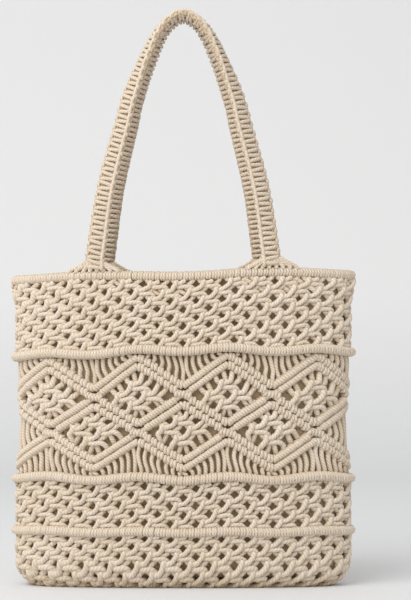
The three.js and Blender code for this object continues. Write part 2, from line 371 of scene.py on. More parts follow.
class CordWork:
    """Gathers round cords that lie on one board, and makes them one mesh."""

    def __init__(self, name: str, place: Place, seed: int) -> None:
        """Start with no cord.

        Args:
            name: The piece's name.
            place: What bends the board's points to their place in space.
            seed: Seed of the cords' small differences.
        """
        self.name = name
        self.place = place
        self.random = np.random.default_rng(seed)
        self.points: list[np.ndarray] = []
        self.tones: list[np.ndarray] = []
        self.recess_shades: list[np.ndarray] = []
        self.corners: list[np.ndarray] = []
        self.sizes: list[np.ndarray] = []
        self.maps: list[np.ndarray] = []
        self.count = 0

    def lay(
        self,
        lines: Lines,
        radius: float,
        steps: int = 2,
        sides: int = 6,
        closed: bool = False,
        crest: float = 5 * MM,
        both_faces: bool = False,
    ) -> None:
        """Lay cords along lines on the board.

        Args:
            lines: Control points of the cords' middle lines, as many for each.
            radius: Half the cords' thickness.
            steps: Pieces from one control point to the next.
            sides: Corners of the cords' section.
            closed: Whether each cord is a ring.
            crest: How far out the work's crests lie, for the shade of what lies deeper.
            both_faces: Whether the work has crests on both of its faces.
        """
        fine = through(lines, steps, closed) if steps > 1 else lines
        first, second = around(fine, closed)
        angles = full_turn(sides)
        across, upward = np.cos(angles)[:, None], np.sin(angles)[:, None]
        ring = across * first[:, :, None] + upward * second[:, :, None]
        board = (fine[:, :, None] + radius * ring).reshape(-1, 3)
        count, length = fine.shape[:2]
        # Painted shade: how deep each point lies under the work's crest, so the cord is painted darker
        # there
        out = np.abs(board[:, 2]) if both_faces else board[:, 2]
        self.recess_shades.append(np.clip(1.0 - out / crest, 0.0, 1.0))
        self.tones.append(np.repeat(self.random.random(count), length * sides))
        self.points.append(self.place(board))
        self._skin(fine, count, length, sides, closed)

    def _skin(self, fine: Lines, count: int, length: int, sides: int, closed: bool) -> None:
        """Cover the rings of points with faces.

        Args:
            fine: The cords' middle lines.
            count: How many cords there are.
            length: Points in each line.
            sides: Corners of a section.
            closed: Whether each cord is a ring.
        """
        strips = length if closed else length - 1
        grid = np.arange(count), np.arange(strips), np.arange(sides)
        cord, along, side = np.meshgrid(*grid, indexing="ij")
        ahead, beside = (along + 1) % length, (side + 1) % sides
        start = self.count + cord * length * sides
        quads = [
            start + along * sides + side,
            start + along * sides + beside,
            start + ahead * sides + beside,
            start + ahead * sides + side,
        ]
        self.corners.append(np.stack(quads, axis=-1).reshape(-1))
        self.sizes.append(np.full(quads[0].size, 4))
        steps = np.linalg.norm(np.diff(fine, axis=1, append=fine[:, :1]), axis=2)
        reach = np.concatenate([np.zeros((count, 1)), np.cumsum(steps, axis=1)], axis=1)
        here, there = reach[cord, along], reach[cord, along + 1]
        left, right = side / sides, (side + 1) / sides
        maps = [left, here, right, here, right, there, left, there]
        self.maps.append(np.stack(maps, axis=-1).reshape(-1))
        if not closed:
            self._cap(count, length, sides)
        self.count += count * length * sides

    def _cap(self, count: int, length: int, sides: int) -> None:
        """Close both ends of open cords.

        Args:
            count: How many cords there are.
            length: Points in each line.
            sides: Corners of a section.
        """
        start = self.count + np.arange(count)[:, None] * length * sides
        ring = np.arange(sides)
        near = start + ring[::-1]
        far = start + (length - 1) * sides + ring
        self.corners.append(np.concatenate([near, far]).reshape(-1))
        self.sizes.append(np.full(2 * count, sides))
        self.maps.append(np.zeros(2 * count * sides * 2))

    def piece(self) -> bpy.types.Object:
        """Make the mesh of all cords laid so far.

        Returns:
            The new object, linked to the scene.
        """
        tones, recess_shades = np.concatenate(self.tones), np.concatenate(self.recess_shades)
        return mesh_piece(
            self.name,
            np.concatenate(self.points),
            np.concatenate(self.corners),
            np.concatenate(self.sizes),
            np.concatenate(self.maps),
            {"tone": tones, "recess_shade": recess_shades},
        )


def mesh_piece(
    name: str,
    points: np.ndarray,
    corners: np.ndarray,
    sizes: np.ndarray,
    maps: np.ndarray,
    values: dict[str, np.ndarray],
) -> bpy.types.Object:
    """Make an object from arrays.

    Args:
        name: The object's name.
        points: Rows of x, y and z.
        corners: Point numbers of the faces' corners.
        sizes: How many corners each face has.
        maps: Two map values for each corner.
        values: Named numbers, one for each point.

    Returns:
        The new object, linked to the scene.
    """
    mesh = bpy.data.meshes.new(name)
    mesh.vertices.add(len(points))
    mesh.vertices.foreach_set("co", points.astype(np.float32).ravel())
    mesh.loops.add(len(corners))
    mesh.loops.foreach_set("vertex_index", corners.astype(np.int32))
    mesh.polygons.add(len(sizes))
    starts = np.concatenate([[0], np.cumsum(sizes)[:-1]])
    mesh.polygons.foreach_set("loop_start", starts.astype(np.int32))
    mesh.polygons.foreach_set("use_smooth", np.ones(len(sizes), bool))
    mesh.update(calc_edges=True)
    mesh.uv_layers.new(name=CORD_MAP).data.foreach_set("uv", maps.astype(np.float32))
    for key, numbers in values.items():
        layer = mesh.attributes.new(key, "FLOAT", "POINT")
        layer.data.foreach_set("value", numbers.astype(np.float32))
    made = bpy.data.objects.new(name, mesh)
    bpy.context.collection.objects.link(made)
    return made


class Value:
    """A number that varies over a surface: a socket with the usual signs of arithmetic."""

    def __init__(self, graph: "Graph", socket: bpy.types.NodeSocket) -> None:
        """Wrap a socket of a material's graph."""
        self.graph = graph
        self.socket = socket

    def math(self, operation: str, *inputs: "Value | float") -> "Value":
        """Add one Math node that works on this value.

        Args:
            operation: The node's operation.
            inputs: Its inputs in order.

        Returns:
            The node's result.
        """
        return self.graph.value("ShaderNodeMath", {"operation": operation}, dict(enumerate(inputs)))

    def __add__(self, other: "Value | float") -> "Value":
        """Add."""
        return self.math("ADD", self, other)

    __radd__ = __add__

    def __sub__(self, other: "Value | float") -> "Value":
        """Take away."""
        return self.math("SUBTRACT", self, other)

    def __rsub__(self, other: "Value | float") -> "Value":
        """Take this value away from a number."""
        return self.math("SUBTRACT", other, self)

    def __mul__(self, other: "Value | float") -> "Value":
        """Multiply."""
        return self.math("MULTIPLY", self, other)

    __rmul__ = __mul__

    def __pow__(self, other: float) -> "Value":
        """Raise to a power."""
        return self.math("POWER", self, other)

    def wave(self) -> "Value":
        """Turn a phase in radians into a wave from 0 to 1."""
        return self.math("SINE", self) * 0.5 + 0.5

    def held(self) -> "Value":
        """Hold the value between 0 and 1."""
        return self.graph.value("ShaderNodeClamp", {}, {"Value": self})


class Graph:
    """The nodes of one material."""

    def __init__(self, name: str) -> None:
        """Start a material with no nodes.

        Args:
            name: The material's name.
        """
        self.material = bpy.data.materials.new(name)
        self.material.use_nodes = True
        self.tree = self.material.node_tree
        self.tree.nodes.clear()

    def node(self, kind: str, settings: dict, inputs: dict) -> bpy.types.Node:
        """Add a node.

        Args:
            kind: The node's type.
            settings: Its settings by name, set first.
            inputs: Values or links of its sockets, by name or number.

        Returns:
            The new node.
        """
        made = self.tree.nodes.new(kind)
        for key, setting in settings.items():
            setattr(made, key, setting)
        for key, given in inputs.items():
            socket = made.inputs[key]
            if isinstance(given, Value):
                self.tree.links.new(given.socket, socket)
            elif isinstance(given, bpy.types.NodeSocket):
                self.tree.links.new(given, socket)
            else:
                socket.default_value = given
        return made

    def value(self, kind: str, settings: dict, inputs: dict, output: str | int = 0) -> Value:
        """Add a node and take one of its outputs as a value.

        Args:
            kind: The node's type.
            settings: Its settings by name.
            inputs: Values or links of its sockets.
            output: The output's name or number.

        Returns:
            The output.
        """
        return Value(self, self.node(kind, settings, inputs).outputs[output])

    def attribute(self, name: str) -> Value:
        """Read numbers that are kept with the mesh."""
        return self.value("ShaderNodeAttribute", {"attribute_name": name}, {}, "Fac")

    def noise(self, scale: float, detail: float, place: bpy.types.NodeSocket) -> Value:
        """Add noise from 0 to 1.

        Args:
            scale: Its scale, in patches to the metre.
            detail: How many finer layers it has.
            place: The coordinates that it reads.

        Returns:
            The noise.
        """
        inputs = {"Vector": place, "Scale": scale, "Detail": detail}
        return self.value("ShaderNodeTexNoise", {}, inputs, "Fac")

    def mix(
        self, share: Value, start: "Colour | bpy.types.NodeSocket", end: Colour
    ) -> bpy.types.NodeSocket:
        """Mix two colours.

        Args:
            share: How much of the second colour there is.
            start: The first colour.
            end: The second colour.

        Returns:
            The mixed colour.
        """
        first = start if isinstance(start, bpy.types.NodeSocket) else (*start, 1.0)
        # Sockets 6 and 7 are the two colours of a Mix node, and output 2 is its colour
        inputs = {0: share, 6: first, 7: (*end, 1.0)}
        return self.node("ShaderNodeMix", {"data_type": "RGBA"}, inputs).outputs[2]

    def parts(self, vector: bpy.types.NodeSocket) -> list[Value]:
        """Split a vector into its three numbers."""
        split = self.node("ShaderNodeSeparateXYZ", {}, {0: vector})
        return [Value(self, output) for output in split.outputs]

    def object_place(self) -> bpy.types.NodeSocket:
        """Read a point's place in its object."""
        return self.node("ShaderNodeTexCoord", {}, {}).outputs["Object"]

    def cord_place(self) -> bpy.types.NodeSocket:
        """Read a point's place round and along its cord, or on its cloth."""
        return self.node("ShaderNodeUVMap", {"uv_map": CORD_MAP}, {}).outputs[0]

    def bump(self, height: Value, strength: float, distance: float) -> bpy.types.NodeSocket:
        """Turn heights into bent normals.

        Args:
            height: The heights, from 0 to 1.
            strength: How strongly they show.
            distance: How high 1 is.

        Returns:
            The normals.
        """
        inputs = {"Strength": strength, "Distance": distance, "Height": height}
        return self.node("ShaderNodeBump", {}, inputs).outputs[0]

    def finish(self, varying: dict, fixed: dict) -> bpy.types.Material:
        """End the graph in one surface shader.

        Args:
            varying: What changes over the surface, by socket.
            fixed: What is the same all over, by socket.

        Returns:
            The material.
        """
        shader = self.node("ShaderNodeBsdfPrincipled", {}, {**varying, **fixed})
        self.node("ShaderNodeOutputMaterial", {}, {"Surface": shader.outputs[0]})
        return self.material


@dataclass(frozen=True)
class CottonCord:
    """Undyed cotton cord of three plies, with painted shade deep in the work, in the grooves between
    plies and next to the ground.
    """

    name: str = "cotton_cord"
    light: Colour = (0.785, 0.71, 0.61)
    dark: Colour = (0.665, 0.56, 0.425)
    rosy: Colour = (0.775, 0.675, 0.59)
    # The colour of the painted shade: deep in the work, in the ply grooves and next to the ground
    deep: Colour = (0.47, 0.325, 0.185)
    plies: float = 3.0
    twists: float = 310.0
    ply_roundness: float = 0.6
    patch_scale: float = 30.0
    fibre_scale: float = 1500.0
    mottle_scale: float = 420.0
    dull_start: float = 0.6
    dull_tone: float = 0.35
    dull_patch: float = 0.5
    dull_mottle: float = 0.9
    dull_fibre: float = 0.25
    rosy_start: float = 0.2
    rosy_mottle: float = 2.0
    # How dark the painted shade in the grooves between the plies is
    groove_shade_share: float = 0.5
    # How dark the painted shade deep in the work gets, and how steeply it grows with depth
    recess_shade_share: float = 0.52
    recess_shade_power: float = 1.5
    # Painted contact shade next to the ground: how high it reaches and how dark it gets
    ground_shade_height: float = 12 * MM
    ground_shade_share: float = 0.55
    bump_depth: float = 0.5 * MM
    bump_strength: float = 0.7
    bump_ply: float = 0.75
    roughness: float = 0.82
    fibre_roughness: float = 0.12
    sheen: float = 0.12
    sheen_roughness: float = 0.5
    gloss: float = 0.25

    def material(self) -> bpy.types.Material:
        """Build the finish.

        Returns:
            The material.
        """
        graph = Graph(self.name)
        round_it, along, _ = graph.parts(graph.cord_place())
        place = graph.object_place()
        ply = ((round_it * self.plies + along * self.twists) * (2 * pi)).wave() ** self.ply_roundness
        patches = graph.noise(self.patch_scale, 3.0, place)
        fibres = graph.noise(self.fibre_scale, 2.0, place)
        mottle = graph.noise(self.mottle_scale, 1.0, place)
        tone = graph.attribute("tone") * self.dull_tone
        dull = tone + patches * self.dull_patch + mottle * self.dull_mottle + fibres * self.dull_fibre
        rosy = mottle * self.rosy_mottle - patches - self.rosy_start
        tinted = graph.mix(rosy.held(), self.light, self.rosy)
        plain = graph.mix((dull - self.dull_start).held(), tinted, self.dark)
        # Painted shade next to the ground, where the bag's contact shadow falls, fading out upwards
        ground_gap = graph.parts(place)[2] * (1 / self.ground_shade_height)
        ground_shade = (1 - ground_gap).held() * self.ground_shade_share
        # Painted shade deep in the work: the lower a point lies under the work's crest, the darker it is
        # painted
        recess_shade = graph.attribute("recess_shade") ** self.recess_shade_power
        # The share of the deep colour: painted shade deep in the work, in the grooves between the plies
        # and next to the ground
        depth = recess_shade * self.recess_shade_share + (1 - ply) * self.groove_shade_share + ground_shade
        height = ply * self.bump_ply + fibres * (1 - self.bump_ply)
        varying = {
            "Base Color": graph.mix(depth.held(), plain, self.deep),
            "Roughness": fibres * self.fibre_roughness + self.roughness,
            "Normal": graph.bump(height, self.bump_strength, self.bump_depth),
        }
        fixed = {
            "Sheen Weight": self.sheen,
            "Sheen Roughness": self.sheen_roughness,
            "Specular IOR Level": self.gloss,
        }
        return graph.finish(varying, fixed)


@dataclass(frozen=True)
class LiningCloth:
    """Plain woven tan cotton cloth."""

    name: str = "lining_cloth"
    light: Colour = (0.71, 0.555, 0.375)
    dark: Colour = (0.54, 0.405, 0.25)
    thread: float = 0.9 * MM
    slub_scale: float = 90.0
    dark_start: float = 0.25
    dark_weave: float = 0.5
    dark_slub: float = 0.9
    bump_depth: float = 0.3 * MM
    bump_strength: float = 0.6
    bump_weave: float = 0.7
    roughness: float = 0.85
    slub_roughness: float = 0.1
    gloss: float = 0.2

    def material(self) -> bpy.types.Material:
        """Build the finish.

        Returns:
            The material.
        """
        graph = Graph(self.name)
        across, along, _ = graph.parts(graph.cord_place())
        warp = (across * (2 * pi / self.thread)).wave()
        weft = (along * (2 * pi / self.thread)).wave()
        slubs = graph.noise(self.slub_scale, 4.0, graph.object_place())
        weave = warp * weft
        share = (1 - weave) * self.dark_weave + slubs * self.dark_slub - self.dark_start
        height = weave * self.bump_weave + slubs * (1 - self.bump_weave)
        varying = {
            "Base Color": graph.mix(share.held(), self.light, self.dark),
            "Roughness": slubs * self.slub_roughness + self.roughness,
            "Normal": graph.bump(height, self.bump_strength, self.bump_depth),
        }
        return graph.finish(varying, {"Specular IOR Level": self.gloss})


@dataclass(frozen=True)
class StudioPaper:
    """Pale matt paper under and behind the bag, painted a little darker on the floor as shade, so that
    the floor, which gets more light, comes out as bright as the backdrop.
    """

    name: str = "studio_paper"
    wall: Colour = (0.82, 0.82, 0.82)
    floor: Colour = (0.705, 0.71, 0.715)
    rise: float = 0.35
    roughness: float = 0.95
    gloss: float = 0.1

    def material(self) -> bpy.types.Material:
        """Build the finish.

        Returns:
            The material.
        """
        graph = Graph(self.name)
        # Painted shade on the floor: the tone rises from the floor colour to the wall colour up the
        # lowest part of the sweep
        share = (graph.parts(graph.object_place())[2] * (1 / self.rise)).held()
        varying = {"Base Color": graph.mix(share, self.floor, self.wall)}
        fixed = {"Roughness": self.roughness, "Specular IOR Level": self.gloss}
        return graph.finish(varying, fixed)


def dress(piece: bpy.types.Object, material: bpy.types.Material, nodes: list[str]) -> None:
    """Give a piece its finish, its body and the solids that it stands for.

    Args:
        piece: The piece.
        material: Its finish.
        nodes: The solids that the piece replaces.
    """
    piece.data.materials.append(material)
    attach(piece, BODY)
    if nodes:
        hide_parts(*nodes)
    LOG.info("%s: %d faces", piece.name, len(piece.data.polygons))


@dataclass(frozen=True)
class SquareKnot:
    """One square knot of four cords with its middle at 0, 0, and four more knots slantwise round it."""

    pitch: float = 8.45 * MM

    def points(self, role: Role) -> np.ndarray:
        """Give the points of one cord, from where it comes in to where it goes out.

        Args:
            role: The cord's part in the knot.

        Returns:
            Rows of x, y and z.
        """
        routes = {
            Role.LOOPING: [
                (-10.6, 5.1, 0.6),
                (-8.5, 2.9, 0.9),
                (-6.3, 1.6, 0.8),
                (-5.0, 2.9, 1.8),
                (-6.2, 3.0, 3.6),
                (-6.8, 0.4, 4.1),
                (-8.4, -2.3, 3.7),
                (-10.3, -4.6, 3.2),
            ],
            Role.LEFT_FILLER: [
                (-1.7, 3.1, 0.4),
                (-1.7, 0.6, 0.2),
                (-1.5, -1.4, -0.2),
                (-1.8, -3.6, 0.0),
            ],
            Role.CROSSING: [
                (2.35, 3.85, 3.2),
                (0.3, 2.6, 3.5),
                (-2.4, 1.8, 3.2),
                (-4.8, 0.9, 2.2),
                (-6.2, -0.5, 0.6),
                (-5.6, -1.9, 1.1),
                (-2.6, -2.2, 2.5),
                (0.8, -2.0, 3.1),
                (3.9, -1.7, 3.0),
                (7.0, -1.9, 2.4),
                (8.9, -3.2, 1.7),
                (11.05, -5.2, 0.4),
            ],
            Role.RIGHT_FILLER: [
                (10.95, 4.7, 0.0),
                (9.2, 3.1, 0.9),
                (7.2, 1.5, 1.1),
                (4.7, 0.4, 0.4),
                (2.4, -0.8, 0.0),
                (2.05, -3.35, 0.6),
            ],
        }
        return np.array(routes[role]) * MM


@dataclass
class KnotNet:
    """Rows of square knots, each between two of the row above, as in a net."""

    name: str
    nodes: list[str]
    wall: Wall
    top: float
    bottom: float
    rows: int
    knots: int = 28
    knot: SquareKnot = SquareKnot()
    cord_radius: float = 2.42 * MM
    close_rows: int = 0
    close_share: float = 0.6
    close_shift: float = 0.5 * MM
    shift: float = 0.35 * MM
    unevenness: float = 0.2 * MM
    seed: int = 1
    pitch: float = field(init=False)
    width: float = field(init=False)

    def __post_init__(self) -> None:
        """Space the knots up the wall and round it."""
        self.pitch = (self.top - self.bottom) / (self.rows - 1)
        self.width = self.wall.girth / self.knots

    def build(self, material: bpy.types.Material) -> bpy.types.Object:
        """Knot the net and dress it.

        Args:
            material: The cord's finish.

        Returns:
            The piece.
        """
        work = CordWork(self.name, self.wall.place, self.seed)
        for strand in range(4):
            work.lay(self.strands(strand, work.random), self.cord_radius)
        if self.close_rows:
            work.lay(self.fill_gaps(work.random), self.cord_radius)
        piece = work.piece()
        dress(piece, material, self.nodes)
        return piece

    def fill_gaps(self, random: np.random.Generator) -> Lines:
        """Lay out a short slanting cord in most gaps of the first rows, which are knotted tighter.

        Args:
            random: Source of the net's unevenness.

        Returns:
            The cords' points.
        """
        points = [(-5.4, 3.2, -1.6), (-2.2, 1.1, 0.5), (1.4, -1.1, 0.6), (5.2, -3.4, -1.4)]
        short = np.array(points) * MM
        row, column = np.meshgrid(np.arange(self.close_rows), np.arange(self.knots), indexing="ij")
        x = (column + 0.5 + row % 2 / 2).reshape(-1) * self.width
        y = self.top - row.reshape(-1) * self.pitch
        middle = np.stack([x, y, np.zeros_like(x)], axis=1)
        middle = middle + random.normal(0.0, self.close_shift, middle.shape)
        middle = middle[random.random(len(middle)) < self.close_share]
        return short[None] + middle[:, None]

    def strands(self, strand: int, random: np.random.Generator) -> Lines:
        """Lay out the cords that start as the same strand of the first row's knots.

        Args:
            strand: Which of the four, from the left.
            random: Source of the net's unevenness.

        Returns:
            The cords' points, one line for each knot round the bag.
        """
        tall = self.pitch / self.knot.pitch
        column = np.arange(self.knots).astype(float)
        role = Role(strand)
        parts = []
        for row in range(self.rows):
            local = self.knot.points(role) * (1.0, tall, 1.0)
            if row < self.rows - 1:
                local = local[:-1]
            height = np.full(self.knots, self.top - row * self.pitch)
            middle = np.stack([column * self.width, height, np.zeros(self.knots)], axis=1)
            wobble = knot_wobble(row, column, self.knots, self.seed) * self.shift
            parts.append(local[None] + (middle + wobble)[:, None])
            role, step = onward(role)
            column = column + step / 2
        lines = np.concatenate(parts, axis=1)
        return lines + random.normal(0.0, self.unevenness, lines.shape)


def onward(role: Role) -> tuple[Role, int]:
    """Follow a cord to the next row.

    Args:
        role: Its part in the knot that it leaves.

    Returns:
        Its part in the next knot, and -1 or 1 for the knot down to the left or to the right.
    """
    steps = {
        Role.LOOPING: (Role.CROSSING, -1),
        Role.LEFT_FILLER: (Role.RIGHT_FILLER, -1),
        Role.RIGHT_FILLER: (Role.LOOPING, 1),
        Role.CROSSING: (Role.LEFT_FILLER, 1),
    }
    return steps[role]


def knot_wobble(row: int, column: np.ndarray, knots: int, seed: int) -> np.ndarray:
    """Shift whole knots a little, the same for each of a knot's cords.

    Args:
        row: The knots' row.
        column: The knots' places in the row, in knots.
        knots: How many knots go round.
        seed: The net's seed.

    Returns:
        A shift along x, y and z for each knot, in shares.
    """
    shares = np.random.default_rng(seed * NET_SEEDS + row).normal(0.0, 1.0, (knots, 3))
    # Places are whole or half knots, so a quarter more keeps rounding from moving them
    return (shares * (1.0, 1.0, 0.4))[np.floor(column + 0.25).astype(int) % knots]


@dataclass
class HitchRow:
    """Cords wrapped side by side round a filler cord that goes round the bag."""

    name: str
    nodes: list[str]
    wall: Wall
    height: float
    tall: float = ROW_TALL
    thick: float = 13 * MM
    stand_out: float = 3.5 * MM
    wraps: int = 260
    wrap_radius: float = 1.66 * MM
    pairing: float = 0.12 * MM
    slant: float = 0.35 * MM
    unevenness: float = 0.14 * MM
    core_radius: float = 2.6 * MM
    core_opening: float = 1e-6
    steps_round: int = 9
    seed: int = 11

    def build(self, material: bpy.types.Material) -> bpy.types.Object:
        """Wrap the row and dress it.

        Args:
            material: The cord's finish.

        Returns:
            The piece.
        """
        work = CordWork(self.name, self.wall.place, self.seed)
        pitch = self.wall.girth / self.wraps
        middle = (np.arange(self.wraps) + 0.5) * pitch
        paired = np.where(np.arange(self.wraps) % 2, -self.pairing, self.pairing)
        angle = full_turn(self.steps_round)
        jitter = work.random.normal(0.0, self.unevenness, (3, self.wraps, 1))
        half_tall = self.tall / 2 - self.wrap_radius + jitter[0]
        half_thick = self.thick / 2 - self.wrap_radius + jitter[1]
        x = (middle + paired)[:, None] + jitter[2] + self.slant * np.cos(angle)
        y = self.height + half_tall * np.cos(angle)
        z = self.stand_out + half_thick * np.sin(angle)
        rings = np.stack(np.broadcast_arrays(x, y, z), axis=2)
        work.lay(rings, self.wrap_radius, steps=1, closed=True, crest=self.stand_out + self.thick / 2)
        self.lay_core(work)
        piece = work.piece()
        dress(piece, material, self.nodes)
        return piece

    def lay_core(self, work: CordWork) -> None:
        """Lay the filler cord inside the wraps.

        Args:
            work: Where the row's cords are gathered.
        """
        x = np.linspace(0.0, self.wall.girth, self.wraps // 2, endpoint=False)
        x = np.append(x, self.wall.girth * (1 - self.core_opening))
        line = np.stack([x, np.full_like(x, self.height), np.full_like(x, self.stand_out)], axis=1)
        work.lay(line[None], self.core_radius, steps=1)


@dataclass
class DiamondPanel:
    """The wide middle band: a lattice of doubled hitched bars with a flower of knots in each diamond."""

    wall: Wall
    nodes: list[str]
    upper_row: float
    lower_row: float
    row_tall: float = ROW_TALL
    peaks: tuple[float, float, float] = (227.5 * MM, 192 * MM, 150.4 * MM)
    falls: tuple[float, float, float] = (27.2 * MM, 33.4 * MM, 24 * MM)
    flower_heights: tuple[float, float] = (192.3 * MM, 160.3 * MM)
    bar_pitch: float = 7.6 * MM
    bar_half_width: float = 4.2 * MM
    bar_out: float = 0.75 * MM
    bar_half_thick: float = 4.85 * MM
    rising_wraps: int = 18
    falling_wraps: int = 14
    wrap_radius: float = 1.95 * MM
    wrap_steps: int = 8
    squareness: float = 0.65
    block_half: float = 5.0 * MM
    block_lean: float = 0.2
    block_spread: float = 0.47
    core_radius: float = 3.0 * MM
    core_inset: float = 0.01
    core_points: int = 5
    crossing_room: float = 3.4 * MM
    beads: int = 5
    bead_reach: float = 7.4 * MM
    bead_half: float = 2.5 * MM
    bead_slant: float = 0.4
    bead_fall: float = 0.2
    bead_looseness: float = 2.0
    unevenness: float = 0.14 * MM
    flower_cord_radius: float = 2.65 * MM
    flower_rise: float = 9.8 * MM
    flower_reach: float = 13.4 * MM
    flower_lift: float = 0.4 * MM
    flower_looseness: float = 1.6
    flower_scale: tuple[float, float, float] = (1.06, 1.2, 1.0)
    flower_ends: tuple[float, ...] = (28.4 * MM, 21.0 * MM, 12.6 * MM, 5.0 * MM)
    tuck: float = 2 * MM
    strands: int = 112
    strand_radius: float = 2.05 * MM
    strand_crest: float = 3.6 * MM
    strand_shortest: float = 1.5 * MM
    strand_tuck: float = 9 * MM
    rising_bow: float = -0.5 * MM
    falling_bow: float = 2 * MM
    bow_length: float = 15 * MM
    bow_limits: tuple[float, float] = (0.3, 1.4)
    strand_shift: float = 0.22 * MM
    strand_unevenness: float = 0.12 * MM
    seed: int = 31
    last_ring: int = field(init=False)
    side: float = field(init=False)
    stretches: list[float] = field(init=False)
    half_pair: float = field(init=False)

    def __post_init__(self) -> None:
        """Work out the lattice from the wall and the diamonds."""
        self.last_ring = len(self.peaks) - 1
        self.side = self.wall.girth / self.wall.diamonds / 2
        self.stretches = [hypot(self.side, fall) / self.side for fall in self.falls]
        self.half_pair = self.bar_pitch / 2 + self.bar_half_width

    def from_peak(self, ring: int, x: np.ndarray) -> np.ndarray:
        """Say how far places are from a ring's nearest peak, as shares of half a diamond."""
        phase = x / self.side + (ring + 1) % 2
        return np.abs((phase + 1.0) % 2.0 - 1.0)

    def from_side(self, x: np.ndarray) -> np.ndarray:
        """Measure how far places along the board are from the middle of the nearer narrow side."""
        return np.abs(x / self.wall.girth % 0.5 - 0.25) * self.wall.girth

    def zigzag(self, ring: int, x: np.ndarray) -> np.ndarray:
        """Give the height of the line between the two bars of a ring.

        Args:
            ring: 0, 1 or 2, from the top.
            x: Places along the board.

        Returns:
            The heights.
        """
        return self.peaks[ring] - self.falls[ring] * self.from_peak(ring, x)

    def build(self, material: bpy.types.Material) -> list[bpy.types.Object]:
        """Make the bars, the flowers and the bare strands, and dress them.

        Args:
            material: The cord's finish.

        Returns:
            The three pieces.
        """
        bars = CordWork("diamond_bars", self.wall.place, self.seed)
        for ring in range(self.last_ring + 1):
            for part in range(2 * self.wall.diamonds):
                rising = (part + ring) % 2 == 0
                self.wrap_bar(bars, ring, part, Slope.RISING if rising else Slope.FALLING)
        self.lay_beads(bars)
        flowers = CordWork("knotted_flowers", self.wall.place, self.seed + 1)
        self.lay_flowers(flowers)
        fringe = CordWork("bare_strands", self.wall.place, self.seed + 2)
        self.lay_upper_strands(fringe)
        self.lay_lower_strands(fringe)
        self.lay_side_strands(fringe)
        pieces = [bars.piece(), flowers.piece(), fringe.piece()]
        for piece, nodes in zip(pieces, [self.nodes, [], []]):
            dress(piece, material, nodes)
        return pieces

    def wrap_bar(self, work: CordWork, ring: int, part: int, slope: Slope) -> None:
        """Wrap the two bars of half a diamond.

        A rising bar has even wraps square to it. A falling bar has a block of two upright wraps for each
        cord.

        Args:
            work: Where the bars' cords are gathered.
            ring: 0, 1 or 2, from the top.
            part: Which half diamond round the bag.
            slope: Which way the bar runs.
        """
        count = self.rising_wraps if slope is Slope.RISING else self.falling_wraps
        index = np.arange(count)
        step = self.side / count
        x = (part * count + index + 0.5) * step
        tilt = atan(self.falls[ring] / self.side)
        stretch = self.stretches[ring]
        if slope is Slope.RISING:
            middle, lean, half = x, tilt, self.bar_half_width - self.wrap_radius
        else:
            block = (part * count + (index // 2) * 2 + 1.0) * step
            lean, half = -tilt * self.block_lean, self.block_half - self.wrap_radius
            x = block + np.where(index % 2, 1, -1) * step * self.block_spread
            middle = (x + block) / 2
        angle = full_turn(self.wrap_steps)
        upward = np.sign(np.cos(angle)) * np.abs(np.cos(angle)) ** self.squareness
        outward = np.sign(np.sin(angle)) * np.abs(np.sin(angle)) ** self.squareness
        for share in (-0.5, 0.5):
            height = self.zigzag(ring, middle) + share * self.bar_pitch * stretch
            seen = self.away_from_beads(ring, share, x)
            if slope is Slope.FALLING:
                seen &= self.clear_of_rising(ring, x, height)
            self.lay_bar_core(work, ring, part, share)
            height, at = height[seen], x[seen]
            jitter = work.random.normal(0.0, self.unevenness, (3, len(at), 1))
            along = half + jitter[0]
            deep = self.bar_half_thick - self.wrap_radius + jitter[1]
            board_x = at[:, None] + jitter[2] - sin(lean) * along * upward
            board_y = height[:, None] + cos(lean) * along * upward
            board_z = self.bar_out + deep * outward
            self.lay_wraps(work, board_x, board_y, board_z)

    def lay_wraps(self, work: CordWork, x: np.ndarray, y: np.ndarray, z: np.ndarray) -> None:
        """Lay closed wraps, the places of which fit together as arrays of wraps and angles.

        Args:
            work: Where the bars' cords are gathered.
            x: Places along the board.
            y: Places up it.
            z: Places out of it.
        """
        rings = np.stack(np.broadcast_arrays(x, y, z), axis=2)
        crest = self.bar_out + self.bar_half_thick
        work.lay(rings, self.wrap_radius, steps=1, closed=True, crest=crest)

    def away_from_beads(self, ring: int, share: float, x: np.ndarray) -> np.ndarray:
        """Find the wraps of a bar that lie outside the crossings, where beads take their place.

        Args:
            ring: The bar's ring.
            share: -0.5 for the ring's lower bar, 0.5 for its upper one.
            x: The wraps' places along the board.

        Returns:
            Whether each wrap stays.
        """
        to_peak = self.from_peak(ring, x) * self.side
        if share > 0:
            return (to_peak > self.bead_reach) | (ring == 0)
        return (self.side - to_peak > self.bead_reach) | (ring == self.last_ring)

    def lay_beads(self, work: CordWork) -> None:
        """Lay a few short wraps at each crossing, where two rings touch.

        Args:
            work: Where the bars' cords are gathered.
        """
        angle = full_turn(self.wrap_steps)
        half_pitch = self.bar_pitch / 2
        for upper in range(self.last_ring):
            valley = self.peaks[upper] - self.falls[upper] - half_pitch * self.stretches[upper]
            peak = self.peaks[upper + 1] + half_pitch * self.stretches[upper + 1]
            crossings = (2 * np.arange(self.wall.diamonds) + upper) * self.side
            places = np.linspace(-1.0, 1.0, self.beads) * (self.bead_reach - self.wrap_radius / 2)
            x = (crossings[:, None] + places).reshape(-1, 1)
            y = (valley + peak) / 2 - np.tile(places, len(crossings))[:, None] * self.bead_fall
            unevenness = self.bead_looseness * self.unevenness
            jitter = work.random.normal(0.0, unevenness, (2, len(x), 1))
            board_x = x + self.bead_half * self.bead_slant * np.cos(angle)
            board_y = y + jitter[0] + self.bead_half * np.cos(angle)
            deep = self.bar_half_thick - self.wrap_radius + jitter[1]
            self.lay_wraps(work, board_x, board_y, self.bar_out + deep * np.sin(angle))

